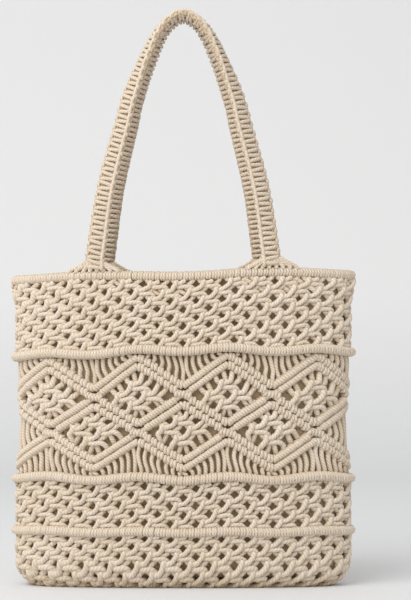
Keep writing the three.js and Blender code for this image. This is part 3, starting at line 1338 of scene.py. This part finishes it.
    def clear_of_rising(self, ring: int, x: np.ndarray, height: np.ndarray) -> np.ndarray:
        """Find the wraps of a falling bar that no rising bar runs over.

        Args:
            ring: The falling bar's ring.
            x: The wraps' places along the board.
            height: Their heights.

        Returns:
            Whether each wrap is clear.
        """
        clear = np.full(x.shape, True)
        for other in (ring - 1, ring + 1):
            if not 0 <= other <= self.last_ring:
                continue
            for share in (-0.5, 0.5):
                line = self.zigzag(other, x) + share * self.bar_pitch * self.stretches[other]
                clear &= np.abs(height - line) / self.stretches[other] > self.crossing_room
        return clear

    def lay_bar_core(self, work: CordWork, ring: int, part: int, share: float) -> None:
        """Lay the filler cord inside one bar of half a diamond.

        Args:
            work: Where the bars' cords are gathered.
            ring: 0, 1 or 2, from the top.
            part: Which half diamond round the bag.
            share: -0.5 for the lower bar, 0.5 for the upper one.
        """
        x = (part + np.linspace(self.core_inset, 1 - self.core_inset, self.core_points)) * self.side
        y = self.zigzag(ring, x) + share * self.bar_pitch * self.stretches[ring]
        line = np.stack([x, y, np.full_like(x, self.bar_out)], axis=1)
        work.lay(line[None], self.core_radius, steps=1)

    def lay_flowers(self, work: CordWork) -> None:
        """Lay the eight cords of each flower of four square knots.

        The two diamonds right at the narrow sides have no flower.

        Args:
            work: Where the flowers' cords are gathered.
        """
        for ring in range(self.last_ring):
            x = (2 * np.arange(self.wall.diamonds) + 1 + ring) * self.side
            x = x[self.from_side(x) > self.side / 2]
            height = self.flower_heights[ring]
            places = np.stack([x, np.full_like(x, height), np.zeros_like(x)], axis=1)
            for line in self.flower_cords(ring):
                lines = line[None] + places[:, None]
                unevenness = self.unevenness * self.flower_looseness
                lines = lines + work.random.normal(0.0, unevenness, lines.shape)
                work.lay(lines, self.flower_cord_radius)

    def flower_ends_at(self, ring: int) -> tuple[np.ndarray, np.ndarray]:
        """Find where a flower's cords run in under the bars above and below it.

        Args:
            ring: The ring whose peak is over the flower.

        Returns:
            The upper and the lower ends on the right-hand side, as rows of x and y round the flower.
        """
        across = np.array(self.flower_ends)
        middle, height = (1 + ring) * self.side, self.flower_heights[ring]
        above = self.zigzag(ring, middle + across) - self.half_pair * self.stretches[ring]
        below = self.zigzag(ring + 1, middle + across) + self.half_pair * self.stretches[ring + 1]
        upper = np.stack([across, above + self.tuck - height], axis=1)
        return upper, np.stack([across, below - self.tuck - height], axis=1)

    def flower_cords(self, ring: int) -> list[np.ndarray]:
        """Lay out the cords of one flower round 0, 0.

        Args:
            ring: The ring whose peak is over the flower.

        Returns:
            The points of each of the eight cords.
        """
        knot = SquareKnot()
        lift = self.flower_lift
        top, bottom = (0.0, self.flower_rise, lift), (0.0, -self.flower_rise, lift)
        left, right = (-self.flower_reach, 0.0, lift), (self.flower_reach, 0.0, lift)
        upper, lower = self.flower_ends_at(ring)
        routes = [
            (-1, 0, left, Role.LOOPING),
            (-1, 1, left, Role.LEFT_FILLER),
            (1, 1, right, Role.CROSSING),
            (1, 0, right, Role.RIGHT_FILLER),
            (-1, 2, top, Role.LOOPING),
            (-1, 3, top, Role.LEFT_FILLER),
            (1, 3, top, Role.CROSSING),
            (1, 2, top, Role.RIGHT_FILLER),
        ]
        cords = []
        for side, end, middle, role in routes:
            parts = [np.array([(side * upper[end][0], upper[end][1], 0.0)])]
            while middle is not None:
                last = middle
                parts.append(knot.points(role) * self.flower_scale + middle)
                role, out = onward(role)
                if middle is top:
                    middle = left if out < 0 else right
                elif middle is bottom or (middle is left) == (out < 0):
                    middle = None
                else:
                    middle = bottom
            away = abs(parts[-1][-1][0])
            choice = (2, 3) if last is bottom else (0, 1)
            near = min(choice, key=lambda i: abs(lower[i][0] - away))
            parts.append(np.array([(out * lower[near][0], lower[near][1], 0.0)]))
            cords.append(np.concatenate(parts))
        return cords

    def strand_places(self) -> np.ndarray:
        """Give the places of the bare strands along the board."""
        return (np.arange(self.strands) + 0.5) * self.wall.girth / self.strands

    def strand_lean(self, x: np.ndarray, ring: int) -> np.ndarray:
        """Say how far strands shift along the board on their way to the bars.

        Args:
            x: The strands' places.
            ring: The ring of bars that they meet.

        Returns:
            The shift of each strand.
        """
        leans = LEAN_OUT if ring == self.last_ring else LEAN_IN
        # The uppermost and the lowest ring have their peaks at the same places
        away = self.from_peak(0, x)
        rising, falling = leans[Slope.RISING].shift(away), leans[Slope.FALLING].shift(away)
        return np.where(self.at_rising(x), rising, falling)

    def at_rising(self, x: np.ndarray) -> np.ndarray:
        """Say which places along the board are at a rising bar of the uppermost and the lowest ring."""
        return np.floor(x / self.side) % 2 == 0

    def lay_upper_strands(self, work: CordWork) -> None:
        """Lay the strands from the upper row down to the bars, which they meet square on.

        Args:
            work: Where the strands are gathered.
        """
        x = self.strand_places()
        start = np.full_like(x, self.upper_row - self.row_tall / 2)
        end = self.zigzag(0, x + self.strand_lean(x, 0)) + self.half_pair * self.stretches[0]
        self.lay_strands(work, x, start, end, 0)

    def lay_lower_strands(self, work: CordWork) -> None:
        """Lay the strands from the bars down to the middle row.

        Args:
            work: Where the strands are gathered.
        """
        x, ring = self.strand_places(), self.last_ring
        start = self.zigzag(ring, x + self.strand_lean(x, ring)) - self.half_pair * self.stretches[ring]
        end = np.full_like(x, self.lower_row + self.row_tall / 2)
        self.lay_strands(work, x, start, end, ring)

    def lay_side_strands(self, work: CordWork) -> None:
        """Lay bare strands across the two diamonds at the narrow sides.

        They run from the middle ring of bars to the lowest.

        Args:
            work: Where the strands are gathered.
        """
        x = self.strand_places()
        x = x[self.from_side(x) < self.side]
        upper, lower = self.last_ring - 1, self.last_ring
        start = self.zigzag(upper, x) - self.half_pair * self.stretches[upper]
        end = self.zigzag(lower, x + self.strand_lean(x, upper)) + self.half_pair * self.stretches[lower]
        self.lay_strands(work, x, start, end, upper)

    def lay_strands(
        self, work: CordWork, x: np.ndarray, start: np.ndarray, end: np.ndarray, ring: int
    ) -> None:
        """Lay bare strands between two heights, bowed on their way.

        Args:
            work: Where the strands are gathered.
            x: The strands' places along the board.
            start: The heights that they leave.
            end: The heights that they reach.
            ring: The ring of bars that they meet.
        """
        long_enough = start - end > self.strand_shortest
        x, start, end = x[long_enough], start[long_enough], end[long_enough]
        length = start - end
        bow = np.where(self.at_rising(x), self.rising_bow, self.falling_bow)
        bow = bow * np.clip(length / self.bow_length, *self.bow_limits)
        lean = self.strand_lean(x, ring)
        leaning, bowing = STRAND.columns["lean"], STRAND.columns["bow"]
        if ring == self.last_ring:
            bow = -bow
            leaning, bowing = leaning[::-1], bowing[::-1]
        reach = np.maximum(length, self.strand_tuck)
        columns = []
        for share, part, bend, out in zip(STRAND.keys, leaning, bowing, STRAND.columns["out"]):
            beyond = min(share, 0.0) + max(share - 1.0, 0.0)
            within = min(max(share, 0.0), 1.0)
            y = start - within * length - beyond * reach
            along = x + lean * part + bow * bend
            columns.append(np.stack([along, y, np.full_like(x, out * MM)], axis=1))
        lines = np.stack(columns, axis=1)
        shift = work.random.normal(0.0, self.strand_shift, (len(x), 1, 3)) * (1.0, 0.0, 1.0)
        lines = lines + shift + work.random.normal(0.0, self.strand_unevenness, lines.shape)
        work.lay(lines, self.strand_radius, steps=3, sides=8, crest=self.strand_crest)


@dataclass
class BaseSeam:
    """The row of hitches along the middle of the base, where front and back meet."""

    name: str = "base_seam"
    half_length: float = 128 * MM
    height: float = 4.4 * MM
    half_thick: float = 2.1 * MM
    half_wide: float = 3.4 * MM
    wrap_radius: float = 1.9 * MM
    wrap_steps: int = 8
    pitch: float = 3.4 * MM
    slant: float = 0.3 * MM
    unevenness: float = 0.12 * MM
    seed: int = 51

    def build(self, material: bpy.types.Material) -> bpy.types.Object:
        """Wrap the seam and dress it.

        Args:
            material: The cord's finish.

        Returns:
            The piece.
        """
        work = CordWork(self.name, lambda board: board, self.seed)
        count = int(2 * self.half_length / self.pitch)
        x = (np.arange(count) + 0.5) * self.pitch - count * self.pitch / 2
        angle = full_turn(self.wrap_steps)
        x = x[:, None] + self.slant * np.cos(angle)
        y = self.half_wide * np.cos(angle) + work.random.normal(0.0, self.unevenness, (count, 1))
        z = self.height + self.half_thick * np.sin(angle)
        rings = np.stack(np.broadcast_arrays(x, y, z), axis=2)
        work.lay(rings, self.wrap_radius, steps=1, closed=True)
        piece = work.piece()
        dress(piece, material, [])
        return piece


@dataclass
class Lining:
    """The loose cloth bag inside, which shows through every gap."""

    wall: Wall
    node: str = "lining"
    top: float = 311 * MM
    outside: float = -4.9 * MM
    cloth: float = 0.9 * MM
    columns: int = 236
    rows: int = 84
    lowest: float = -20 * MM
    slack: float = 0.55 * MM
    fold_width: float = 41 * MM
    fold_height: float = 83 * MM
    fold_bend: float = 1.5
    fold_bends: float = 34.0
    fold_slant: float = 9.0
    side_fit: float = 1.3 * MM
    flat: tuple[float, float] = (0.69, 0.325)

    def build(self, material: bpy.types.Material) -> bpy.types.Object:
        """Sew the lining and dress it.

        Args:
            material: The cloth's finish.

        Returns:
            The piece.
        """
        around_it = np.arange(self.columns) / self.columns * self.wall.girth
        x, y = np.meshgrid(around_it, np.linspace(self.lowest, self.top, self.rows))
        looseness = self.looseness(x, y)
        skins = []
        for offset in (self.outside, self.outside - self.cloth):
            board = np.stack([x, y, offset + looseness], axis=2).reshape(-1, 3)
            skins.append(self.wall.place(board))
        size = self.columns * self.rows
        row, column = np.meshgrid(np.arange(self.rows - 1), np.arange(self.columns), indexing="ij")
        beside = (column + 1) % self.columns
        low, high = row * self.columns, (row + 1) * self.columns
        outer = np.stack([low + column, low + beside, high + beside, high + column], axis=-1)
        outer = outer.reshape(-1, 4)
        inner = outer[:, ::-1] + size
        edge = np.arange(self.columns)
        after = (edge + 1) % self.columns
        top = (self.rows - 1) * self.columns
        hem = np.stack([top + edge, top + after, top + size + after, top + size + edge], axis=1)
        # The lowest ring is a narrow slit along the middle, closed by one face outside and one inside
        seam = np.concatenate([edge[::-1], edge + size])
        quads = np.concatenate([outer, inner, hem])
        corners = np.concatenate([quads.reshape(-1), seam])
        sizes = np.concatenate([np.full(len(quads), 4), [self.columns, self.columns]])
        flat_map = np.stack([x.reshape(-1), y.reshape(-1)], axis=1)
        maps = np.concatenate([flat_map, flat_map])[corners]
        points = np.concatenate(skins)
        piece = mesh_piece("lining_cloth", points, corners, sizes, maps.reshape(-1), {})
        dress(piece, material, [self.node])
        return piece

    def looseness(self, x: np.ndarray, y: np.ndarray) -> np.ndarray:
        """Say how far the cloth lies out of its even place.

        It hangs in shallow folds, and fits close to the wall at the narrow sides.

        Args:
            x: Places round the bag.
            y: Places up the wall.

        Returns:
            The distance at each place, outwards.
        """
        upright = np.sin(x * 2 * pi / self.fold_width + np.sin(y * self.fold_bends) * self.fold_bend)
        level = np.sin(y * 2 * pi / self.fold_height + x * self.fold_slant)
        at_side = np.sin(x * 2 * pi / self.wall.girth) ** 6
        return self.side_fit * at_side - np.abs(upright * level) * self.slack


@dataclass
class Strap:
    """The path of one handle, which bends what was knotted on the flat board along it."""

    wall: Wall
    side: Side
    spacing: float
    width: float = 20 * MM
    thickness: float = 11.6 * MM
    top: float = 584 * MM
    gap: float = 0.8 * MM
    rim_thickness: float = RIM_THICKNESS
    clearance: float = 0.3 * MM
    root_height: float = 8 * MM
    stations: int = 480
    points: np.ndarray = field(init=False)
    reach: np.ndarray = field(init=False)
    across: np.ndarray = field(init=False)
    face: np.ndarray = field(init=False)
    length: float = field(init=False)
    drops: list[float] = field(init=False)

    def __post_init__(self) -> None:
        """Draw the middle line once, with its turning frame."""
        feet = [self.foot(-1), self.foot(1)]
        start = max(float(foot[2]) for foot in feet) + self.root_height + self.clearance
        crown = self.top - self.thickness / 2
        outward = self.side.value
        top_y = outward * (self.width + self.gap) / 2
        rows = HANDLE_LEG.keys
        spread = HANDLE_LEG.columns["spread"]

        def leg(foot: np.ndarray) -> np.ndarray:
            """Give the points of one leg, from the foot up."""
            y = foot[1] + (top_y - foot[1]) * rows
            return np.stack([foot[0] * spread, y, start + (crown - start) * rows], axis=1)

        knots = np.concatenate([leg(feet[0]), leg(feet[1])[-2::-1]])
        self.points, self.reach = even_path(knots, self.stations)
        tangents = unit(np.gradient(self.points, axis=0))
        rise = (self.points[:, 2] - start) / (crown - start)
        facing = HANDLE_LEG.at("facing", rise) * pi / 2
        arch = unit(np.stack([-tangents[:, 2], np.zeros_like(rise), tangents[:, 0]], axis=1))
        face = arch * np.cos(facing)[:, None]
        face[:, 1] += outward * np.sin(facing)
        self.across = unit(np.cross(tangents, face))
        self.face = np.cross(self.across, tangents)
        self.length = float(self.reach[-1])
        self.drops = [start - float(foot[2]) for foot in feet]

    def along_rim(self, leg: int) -> float:
        """Give the place along the board of the left leg, -1, or the right one, 1."""
        along = leg * self.spacing / 2
        return along if self.side is Side.FRONT else self.wall.girth / 2 - along

    def foot(self, leg: int) -> np.ndarray:
        """Find where a leg stands on the rim.

        Args:
            leg: -1 for the left leg, 1 for the right one.

        Returns:
            The point on top of the rim.
        """
        point = self.wall.place(np.array([[self.along_rim(leg), self.wall.rim, 0.0]]))[0]
        return point + (0.0, 0.0, self.rim_thickness / 2 + self.clearance)

    def place(self, board: np.ndarray) -> np.ndarray:
        """Bend points of the board along the strap.

        Args:
            board: Rows of x across, y along and z out of the strap.

        Returns:
            Rows of x, y and z in space.
        """

        def at(values: np.ndarray) -> np.ndarray:
            """Read rows of three numbers at the board's places along the strap."""
            columns = [np.interp(board[:, 1], self.reach, values[:, i]) for i in range(3)]
            return np.stack(columns, axis=1)

        beyond = board[:, 1:2] - np.clip(board[:, 1:2], 0.0, self.length)
        tangent = np.where(beyond < 0, 1.0, -1.0) * np.array([0.0, 0.0, 1.0])
        middle = at(self.points) + tangent * beyond
        return middle + board[:, :1] * unit(at(self.across)) + board[:, 2:] * unit(at(self.face))


def even_path(knots: np.ndarray, stations: int) -> tuple[np.ndarray, np.ndarray]:
    """Draw a smooth path through unevenly spaced points, with even steps along it.

    Args:
        knots: The points.
        stations: How many points the path has.

    Returns:
        The path's points, and each one's distance from the start.
    """
    padded = np.concatenate([[2 * knots[0] - knots[1]], knots, [2 * knots[-1] - knots[-2]]])
    fine = []
    for i in range(len(knots) - 1):
        a, b, c, d = padded[i : i + 4]
        t = np.cumsum([0.0] + [np.linalg.norm(q - p) ** 0.5 for p, q in ((a, b), (b, c), (c, d))])
        u = np.linspace(t[1], t[2], PATH_STEPS + 1)[:-1, None]
        ab = (a * (t[1] - u) + b * (u - t[0])) / (t[1] - t[0])
        bc = (b * (t[2] - u) + c * (u - t[1])) / (t[2] - t[1])
        cd = (c * (t[3] - u) + d * (u - t[2])) / (t[3] - t[2])
        abc = (ab * (t[2] - u) + bc * (u - t[0])) / (t[2] - t[0])
        bcd = (bc * (t[3] - u) + cd * (u - t[1])) / (t[3] - t[1])
        fine.append((abc * (t[2] - u) + bcd * (u - t[1])) / (t[2] - t[1]))
    path = np.concatenate([*fine, knots[-1:]])
    reach = np.concatenate([[0.0], np.cumsum(np.linalg.norm(np.diff(path, axis=0), axis=1))])
    even = np.linspace(0.0, reach[-1], stations)
    points = np.stack([np.interp(even, reach, path[:, i]) for i in range(3)], axis=1)
    return points, even


@dataclass
class Handle:
    """A flat sinnet of square knots: one cord crosses in front, one behind, round four fillers."""

    name: str
    node: str
    strap: Strap
    knot_pitch: float = 10 * MM
    cord_radius: float = 2.1 * MM
    # The crests set the painted shade of what lies deeper; they lie beyond the strap's real face, so its
    # cords, the fillers most, are painted darker
    cord_crest: float = 6.8 * MM
    fillers: int = 4
    filler_radius: float = 1.8 * MM
    filler_spacing: float = 3.2 * MM
    filler_depth: float = 0.8 * MM
    filler_crest: float = 7.5 * MM
    ridge_radius: float = 1.75 * MM
    ridge_across: float = 7.6 * MM
    ridge_out: float = 3.6 * MM
    ridge_swell: float = 0.5 * MM
    ridge_dip: float = 0.3 * MM
    ridge_sway: float = 0.4
    ridge_crest: float = 5.6 * MM
    end_gap: float = 0.4 * MM
    unevenness: float = 0.13 * MM
    seed: int = 61

    def build(self, material: bpy.types.Material) -> bpy.types.Object:
        """Knot the handle and dress it.

        Args:
            material: The cord's finish.

        Returns:
            The piece.
        """
        work = CordWork(self.name, self.strap.place, self.seed)
        below, beyond = (drop - self.end_gap for drop in self.strap.drops)
        full = below + self.strap.length + beyond
        knots = round(full / self.knot_pitch)
        pitch = full / knots
        for line in (self.crossing(), self.looping()):
            joined = [line * (MM, pitch, MM) + (0.0, k * pitch - below, 0.0) for k in range(knots)]
            points = np.concatenate(joined)[None]
            points = points + work.random.normal(0.0, self.unevenness, points.shape)
            work.lay(points, self.cord_radius, crest=self.cord_crest, both_faces=True)
        half_knots = np.arange(2 * knots + 1) * pitch / 2 - below
        self.lay_fillers(work, half_knots)
        self.lay_ridge(work, half_knots)
        piece = work.piece()
        dress(piece, material, [self.node])
        return piece

    def crossing(self) -> np.ndarray:
        """Lay out the cord that crosses in front, over one knot: x and z in mm, y in knots.

        Returns:
            Rows of x, y and z.
        """
        return np.array(
            [
                (-7.4, 0.06, 0.6),
                (-5.2, 0.17, 3.3),
                (0.0, 0.22, 3.8),
                (5.2, 0.24, 3.3),
                (7.9, 0.38, 0.6),
                (7.9, 0.52, 0.6),
                (5.2, 0.64, 3.3),
                (0.0, 0.73, 3.8),
                (-5.2, 0.82, 3.3),
                (-7.6, 0.94, 0.6),
            ]
        )

    def looping(self) -> np.ndarray:
        """Lay out the cord that crosses behind and loops over the other one at both edges.

        Returns:
            Rows of x, y and z, as for the crossing cord.
        """
        return np.array(
            [
                (8.2, 0.08, 1.8),
                (4.8, 0.17, -3.3),
                (0.0, 0.22, -3.7),
                (-4.8, 0.26, -3.3),
                (-7.7, 0.28, 1.0),
                (-7.9, 0.5, 2.2),
                (-7.7, 0.72, 1.0),
                (-4.8, 0.7, -3.3),
                (0.0, 0.73, -3.7),
                (4.8, 0.76, -3.3),
                (8.0, 0.84, 1.6),
                (8.2, 0.97, 3.0),
            ]
        )

    def lay_fillers(self, work: CordWork, y: np.ndarray) -> None:
        """Lay the straight cords inside the knots.

        Args:
            work: Where the handle's cords are gathered.
            y: Places along the strap, half a knot apart.
        """
        for index in range(self.fillers):
            across = (index - (self.fillers - 1) / 2) * self.filler_spacing
            for out in (-self.filler_depth, self.filler_depth):
                line = np.stack([np.full_like(y, across), y, np.full_like(y, out)], axis=1)
                work.lay(
                    line[None],
                    self.filler_radius,
                    steps=1,
                    crest=self.filler_crest,
                    both_faces=True,
                )

    def lay_ridge(self, work: CordWork, y: np.ndarray) -> None:
        """Lay the cord that stands out along the strap's inner edge, a little higher over each knot.

        Args:
            work: Where the handle's cords are gathered.
            y: Places along the strap, half a knot apart.
        """
        inner = -self.strap.side.value
        swell = np.where(np.arange(len(y)) % 2, self.ridge_swell, -self.ridge_dip)
        across = inner * (self.ridge_across + swell * self.ridge_sway)
        line = np.stack([across, y, self.ridge_out + swell], axis=1)
        work.lay(line[None], self.ridge_radius, crest=self.ridge_crest, both_faces=True)


@dataclass
class HandleRoot:
    """The cords of a handle's leg, fanned out over the rim."""

    name: str
    node: str
    strap: Strap
    leg: int
    spread: float = 46 * MM
    cords: int = 8
    cord_radius: float = 2 * MM
    layer: float = 2.3 * MM
    unevenness: float = 0.2 * MM
    seed: int = 81

    def build(self, material: bpy.types.Material) -> bpy.types.Object:
        """Fan out the cords and dress them.

        Args:
            material: The cord's finish.

        Returns:
            The piece.
        """
        wall, strap = self.strap.wall, self.strap
        work = CordWork(self.name, wall.place, self.seed)
        middle = strap.along_rim(self.leg)
        rim_top = wall.rim + strap.rim_thickness / 2
        share = np.linspace(-1.0, 1.0, self.cords)
        top_half = strap.width / 2 - self.cord_radius
        foot_half = self.spread / 2
        for layer in (-1, 1):
            columns = []
            for height, part in ROOT_FAN:
                x = share * (top_half + (foot_half - top_half) * part)
                y = np.full_like(x, rim_top + height * MM)
                z = np.full_like(x, layer * self.layer)
                columns.append(np.stack([middle + x, y, z], axis=1))
            lines = np.stack(columns, axis=1)
            lines = lines + work.random.normal(0.0, self.unevenness, lines.shape)
            work.lay(lines, self.cord_radius, sides=8, both_faces=True)
        piece = work.piece()
        dress(piece, material, [self.node])
        return piece


@dataclass
class Studio:
    """Seamless paper, soft light and the camera of the photograph."""

    picture_width: int = 411
    picture_height: int = 600
    metres_a_pixel: float = 1 * MM
    middle_column: float = 183.0
    ground_row: float = 589.0
    front_plane: float = -36 * MM
    distance: float = 2.0
    eye_height: float = 0.25
    sensor: float = 24.0
    paper_width: float = 9.0
    paper_front: float = -3.2
    paper_back: float = 1.6
    paper_curve: float = 1.0
    paper_steps: int = 24
    paper_height: float = 4.5
    sky: Colour = (1.0, 1.0, 1.0)
    sky_strength: float = 0.76
    key_place: tuple[float, float, float] = (-1.4, -1.75, 2.15)
    key_aim: tuple[float, float, float] = (0.0, 0.0, 0.25)
    key_size: float = 2.6
    key_power: float = 68.0
    key_colour: Colour = (1.0, 0.995, 0.985)

    def build(self, paper: bpy.types.Material) -> None:
        """Set up the paper, the lights and the camera.

        Args:
            paper: The paper's finish.
        """
        self.lay_paper(paper)
        self.light()
        self.aim_camera()

    def lay_paper(self, paper: bpy.types.Material) -> None:
        """Lay the paper on the floor and curve it up behind.

        Args:
            paper: Its finish.
        """
        bend = np.linspace(0.0, pi / 2, self.paper_steps)
        y = np.concatenate([[self.paper_front], self.paper_back + self.paper_curve * np.sin(bend)])
        z = np.concatenate([[0.0], self.paper_curve * (1 - np.cos(bend))])
        y = np.append(y, self.paper_back + self.paper_curve)
        z = np.append(z, self.paper_height)
        half = self.paper_width / 2
        points = [(x, b, c) for b, c in zip(y, z) for x in (-half, half)]
        faces = [(2 * i, 2 * i + 1, 2 * i + 3, 2 * i + 2) for i in range(len(y) - 1)]
        mesh = bpy.data.meshes.new("studio_paper")
        mesh.from_pydata(points, [], faces)
        for face in mesh.polygons:
            face.use_smooth = True
        floor = bpy.data.objects.new("studio_paper", mesh)
        bpy.context.collection.objects.link(floor)
        floor.data.materials.append(paper)

    def light(self) -> None:
        """Light the bag softly from the upper left, with a bright room around it."""
        world = bpy.data.worlds.new("bright_room")
        bpy.context.scene.world = world
        world.use_nodes = True
        background = world.node_tree.nodes["Background"]
        background.inputs["Color"].default_value = (*self.sky, 1.0)
        background.inputs["Strength"].default_value = self.sky_strength
        self.hang_key_light()
        bpy.context.scene.view_settings.view_transform = "Standard"

    def hang_key_light(self) -> None:
        """Hang one large square light and turn it to the bag."""
        data = bpy.data.lights.new("key_light", "AREA")
        data.shape = "SQUARE"
        data.size = self.key_size
        data.energy = self.key_power
        data.color = self.key_colour
        lamp = bpy.data.objects.new("key_light", data)
        lamp.location = self.key_place
        towards = Vector(self.key_aim) - Vector(self.key_place)
        lamp.rotation_euler = towards.to_track_quat("-Z", "Y").to_euler()
        bpy.context.collection.objects.link(lamp)

    def aim_camera(self) -> None:
        """Place the camera level, straight in front, with the picture's frame shifted up."""
        data = bpy.data.cameras.new("camera")
        data.sensor_fit = "VERTICAL"
        data.sensor_height = self.sensor
        tall = self.picture_height * self.metres_a_pixel
        data.lens = self.sensor * self.distance / tall
        middle_x = (self.picture_width / 2 - self.middle_column) * self.metres_a_pixel
        middle_z = (self.ground_row - self.picture_height / 2) * self.metres_a_pixel
        data.shift_y = (middle_z - self.eye_height) / tall
        camera = bpy.data.objects.new("camera", data)
        camera.location = (middle_x, self.front_plane - self.distance, self.eye_height)
        camera.rotation_euler = (radians(90), 0.0, 0.0)
        bpy.context.collection.objects.link(camera)
        bpy.context.scene.camera = camera


@dataclass
class MacrameBag:
    """The whole bag, piece by piece."""

    wall: Wall = field(default_factory=Wall)
    upper_row: float = 239.5 * MM
    middle_row: float = 110.5 * MM
    lower_row: float = 57 * MM
    rim_thickness: float = RIM_THICKNESS
    front_spacing: float = 172 * MM
    back_spacing: float = 156 * MM

    def build(self, cord: bpy.types.Material, cloth: bpy.types.Material) -> None:
        """Make every piece of the bag.

        Args:
            cord: The cord's finish.
            cloth: The lining's finish.
        """
        self.build_rows(cord)
        self.build_nets(cord)
        DiamondPanel(self.wall, ["diamond_panel"], self.upper_row, self.middle_row).build(cord)
        BaseSeam().build(cord)
        Lining(self.wall).build(cloth)
        self.build_handles(cord)

    def build_rows(self, cord: bpy.types.Material) -> None:
        """Make the rim and the three hitch rows.

        Args:
            cord: The cord's finish.
        """
        heights = {"upper": self.upper_row, "middle": self.middle_row, "lower": self.lower_row}
        for seed, (level, height) in enumerate(heights.items()):
            name = f"{level}_row_hitches"
            HitchRow(name, [f"{level}_hitch_row"], self.wall, height, seed=11 + seed).build(cord)
        rim = HitchRow(
            "rim_wraps",
            ["rim_roll"],
            self.wall,
            self.wall.rim,
            tall=self.rim_thickness,
            thick=self.rim_thickness,
            stand_out=0.0,
            seed=17,
        )
        rim.build(cord)

    def build_nets(self, cord: bpy.types.Material) -> None:
        """Make the three nets.

        Args:
            cord: The cord's finish.
        """
        upper = KnotNet(
            "upper_knots",
            ["upper_net"],
            self.wall,
            top=306 * MM,
            bottom=247.5 * MM,
            rows=8,
            close_rows=2,
            seed=21,
        )
        middle = KnotNet(
            "middle_knots",
            ["middle_net"],
            self.wall,
            top=101.8 * MM,
            bottom=65.4 * MM,
            rows=5,
            seed=22,
        )
        base = KnotNet(
            "base_knots",
            ["base_net"],
            self.wall,
            top=49.9 * MM,
            bottom=-20.5 * MM,
            rows=9,
            cord_radius=2.6 * MM,
            seed=23,
        )
        for net in (upper, middle, base):
            net.build(cord)

    def build_handles(self, cord: bpy.types.Material) -> None:
        """Make the two handles and their four roots.

        Args:
            cord: The cord's finish.
        """
        spacings = {Side.FRONT: self.front_spacing, Side.BACK: self.back_spacing}
        for side, spacing in spacings.items():
            place = side.name.lower()
            strap = Strap(self.wall, side, spacing, rim_thickness=self.rim_thickness)
            name, node = f"handle_{place}_sinnet", f"handle_{place}"
            Handle(name, node, strap, seed=61 + side.value).build(cord)
            for leg, end in ((-1, "left"), (1, "right")):
                node = f"handle_root_{place}_{end}"
                seed = 81 + side.value * 2 + leg
                HandleRoot(f"{node}_cords", node, strap, leg, seed=seed).build(cord)


def main() -> None:
    """Build the bag and its studio."""
    logging.basicConfig(level=logging.INFO, format="%(message)s")
    MacrameBag().build(CottonCord().material(), LiningCloth().material())
    Studio().build(StudioPaper().material())


if __name__ == "__main__":
    main()
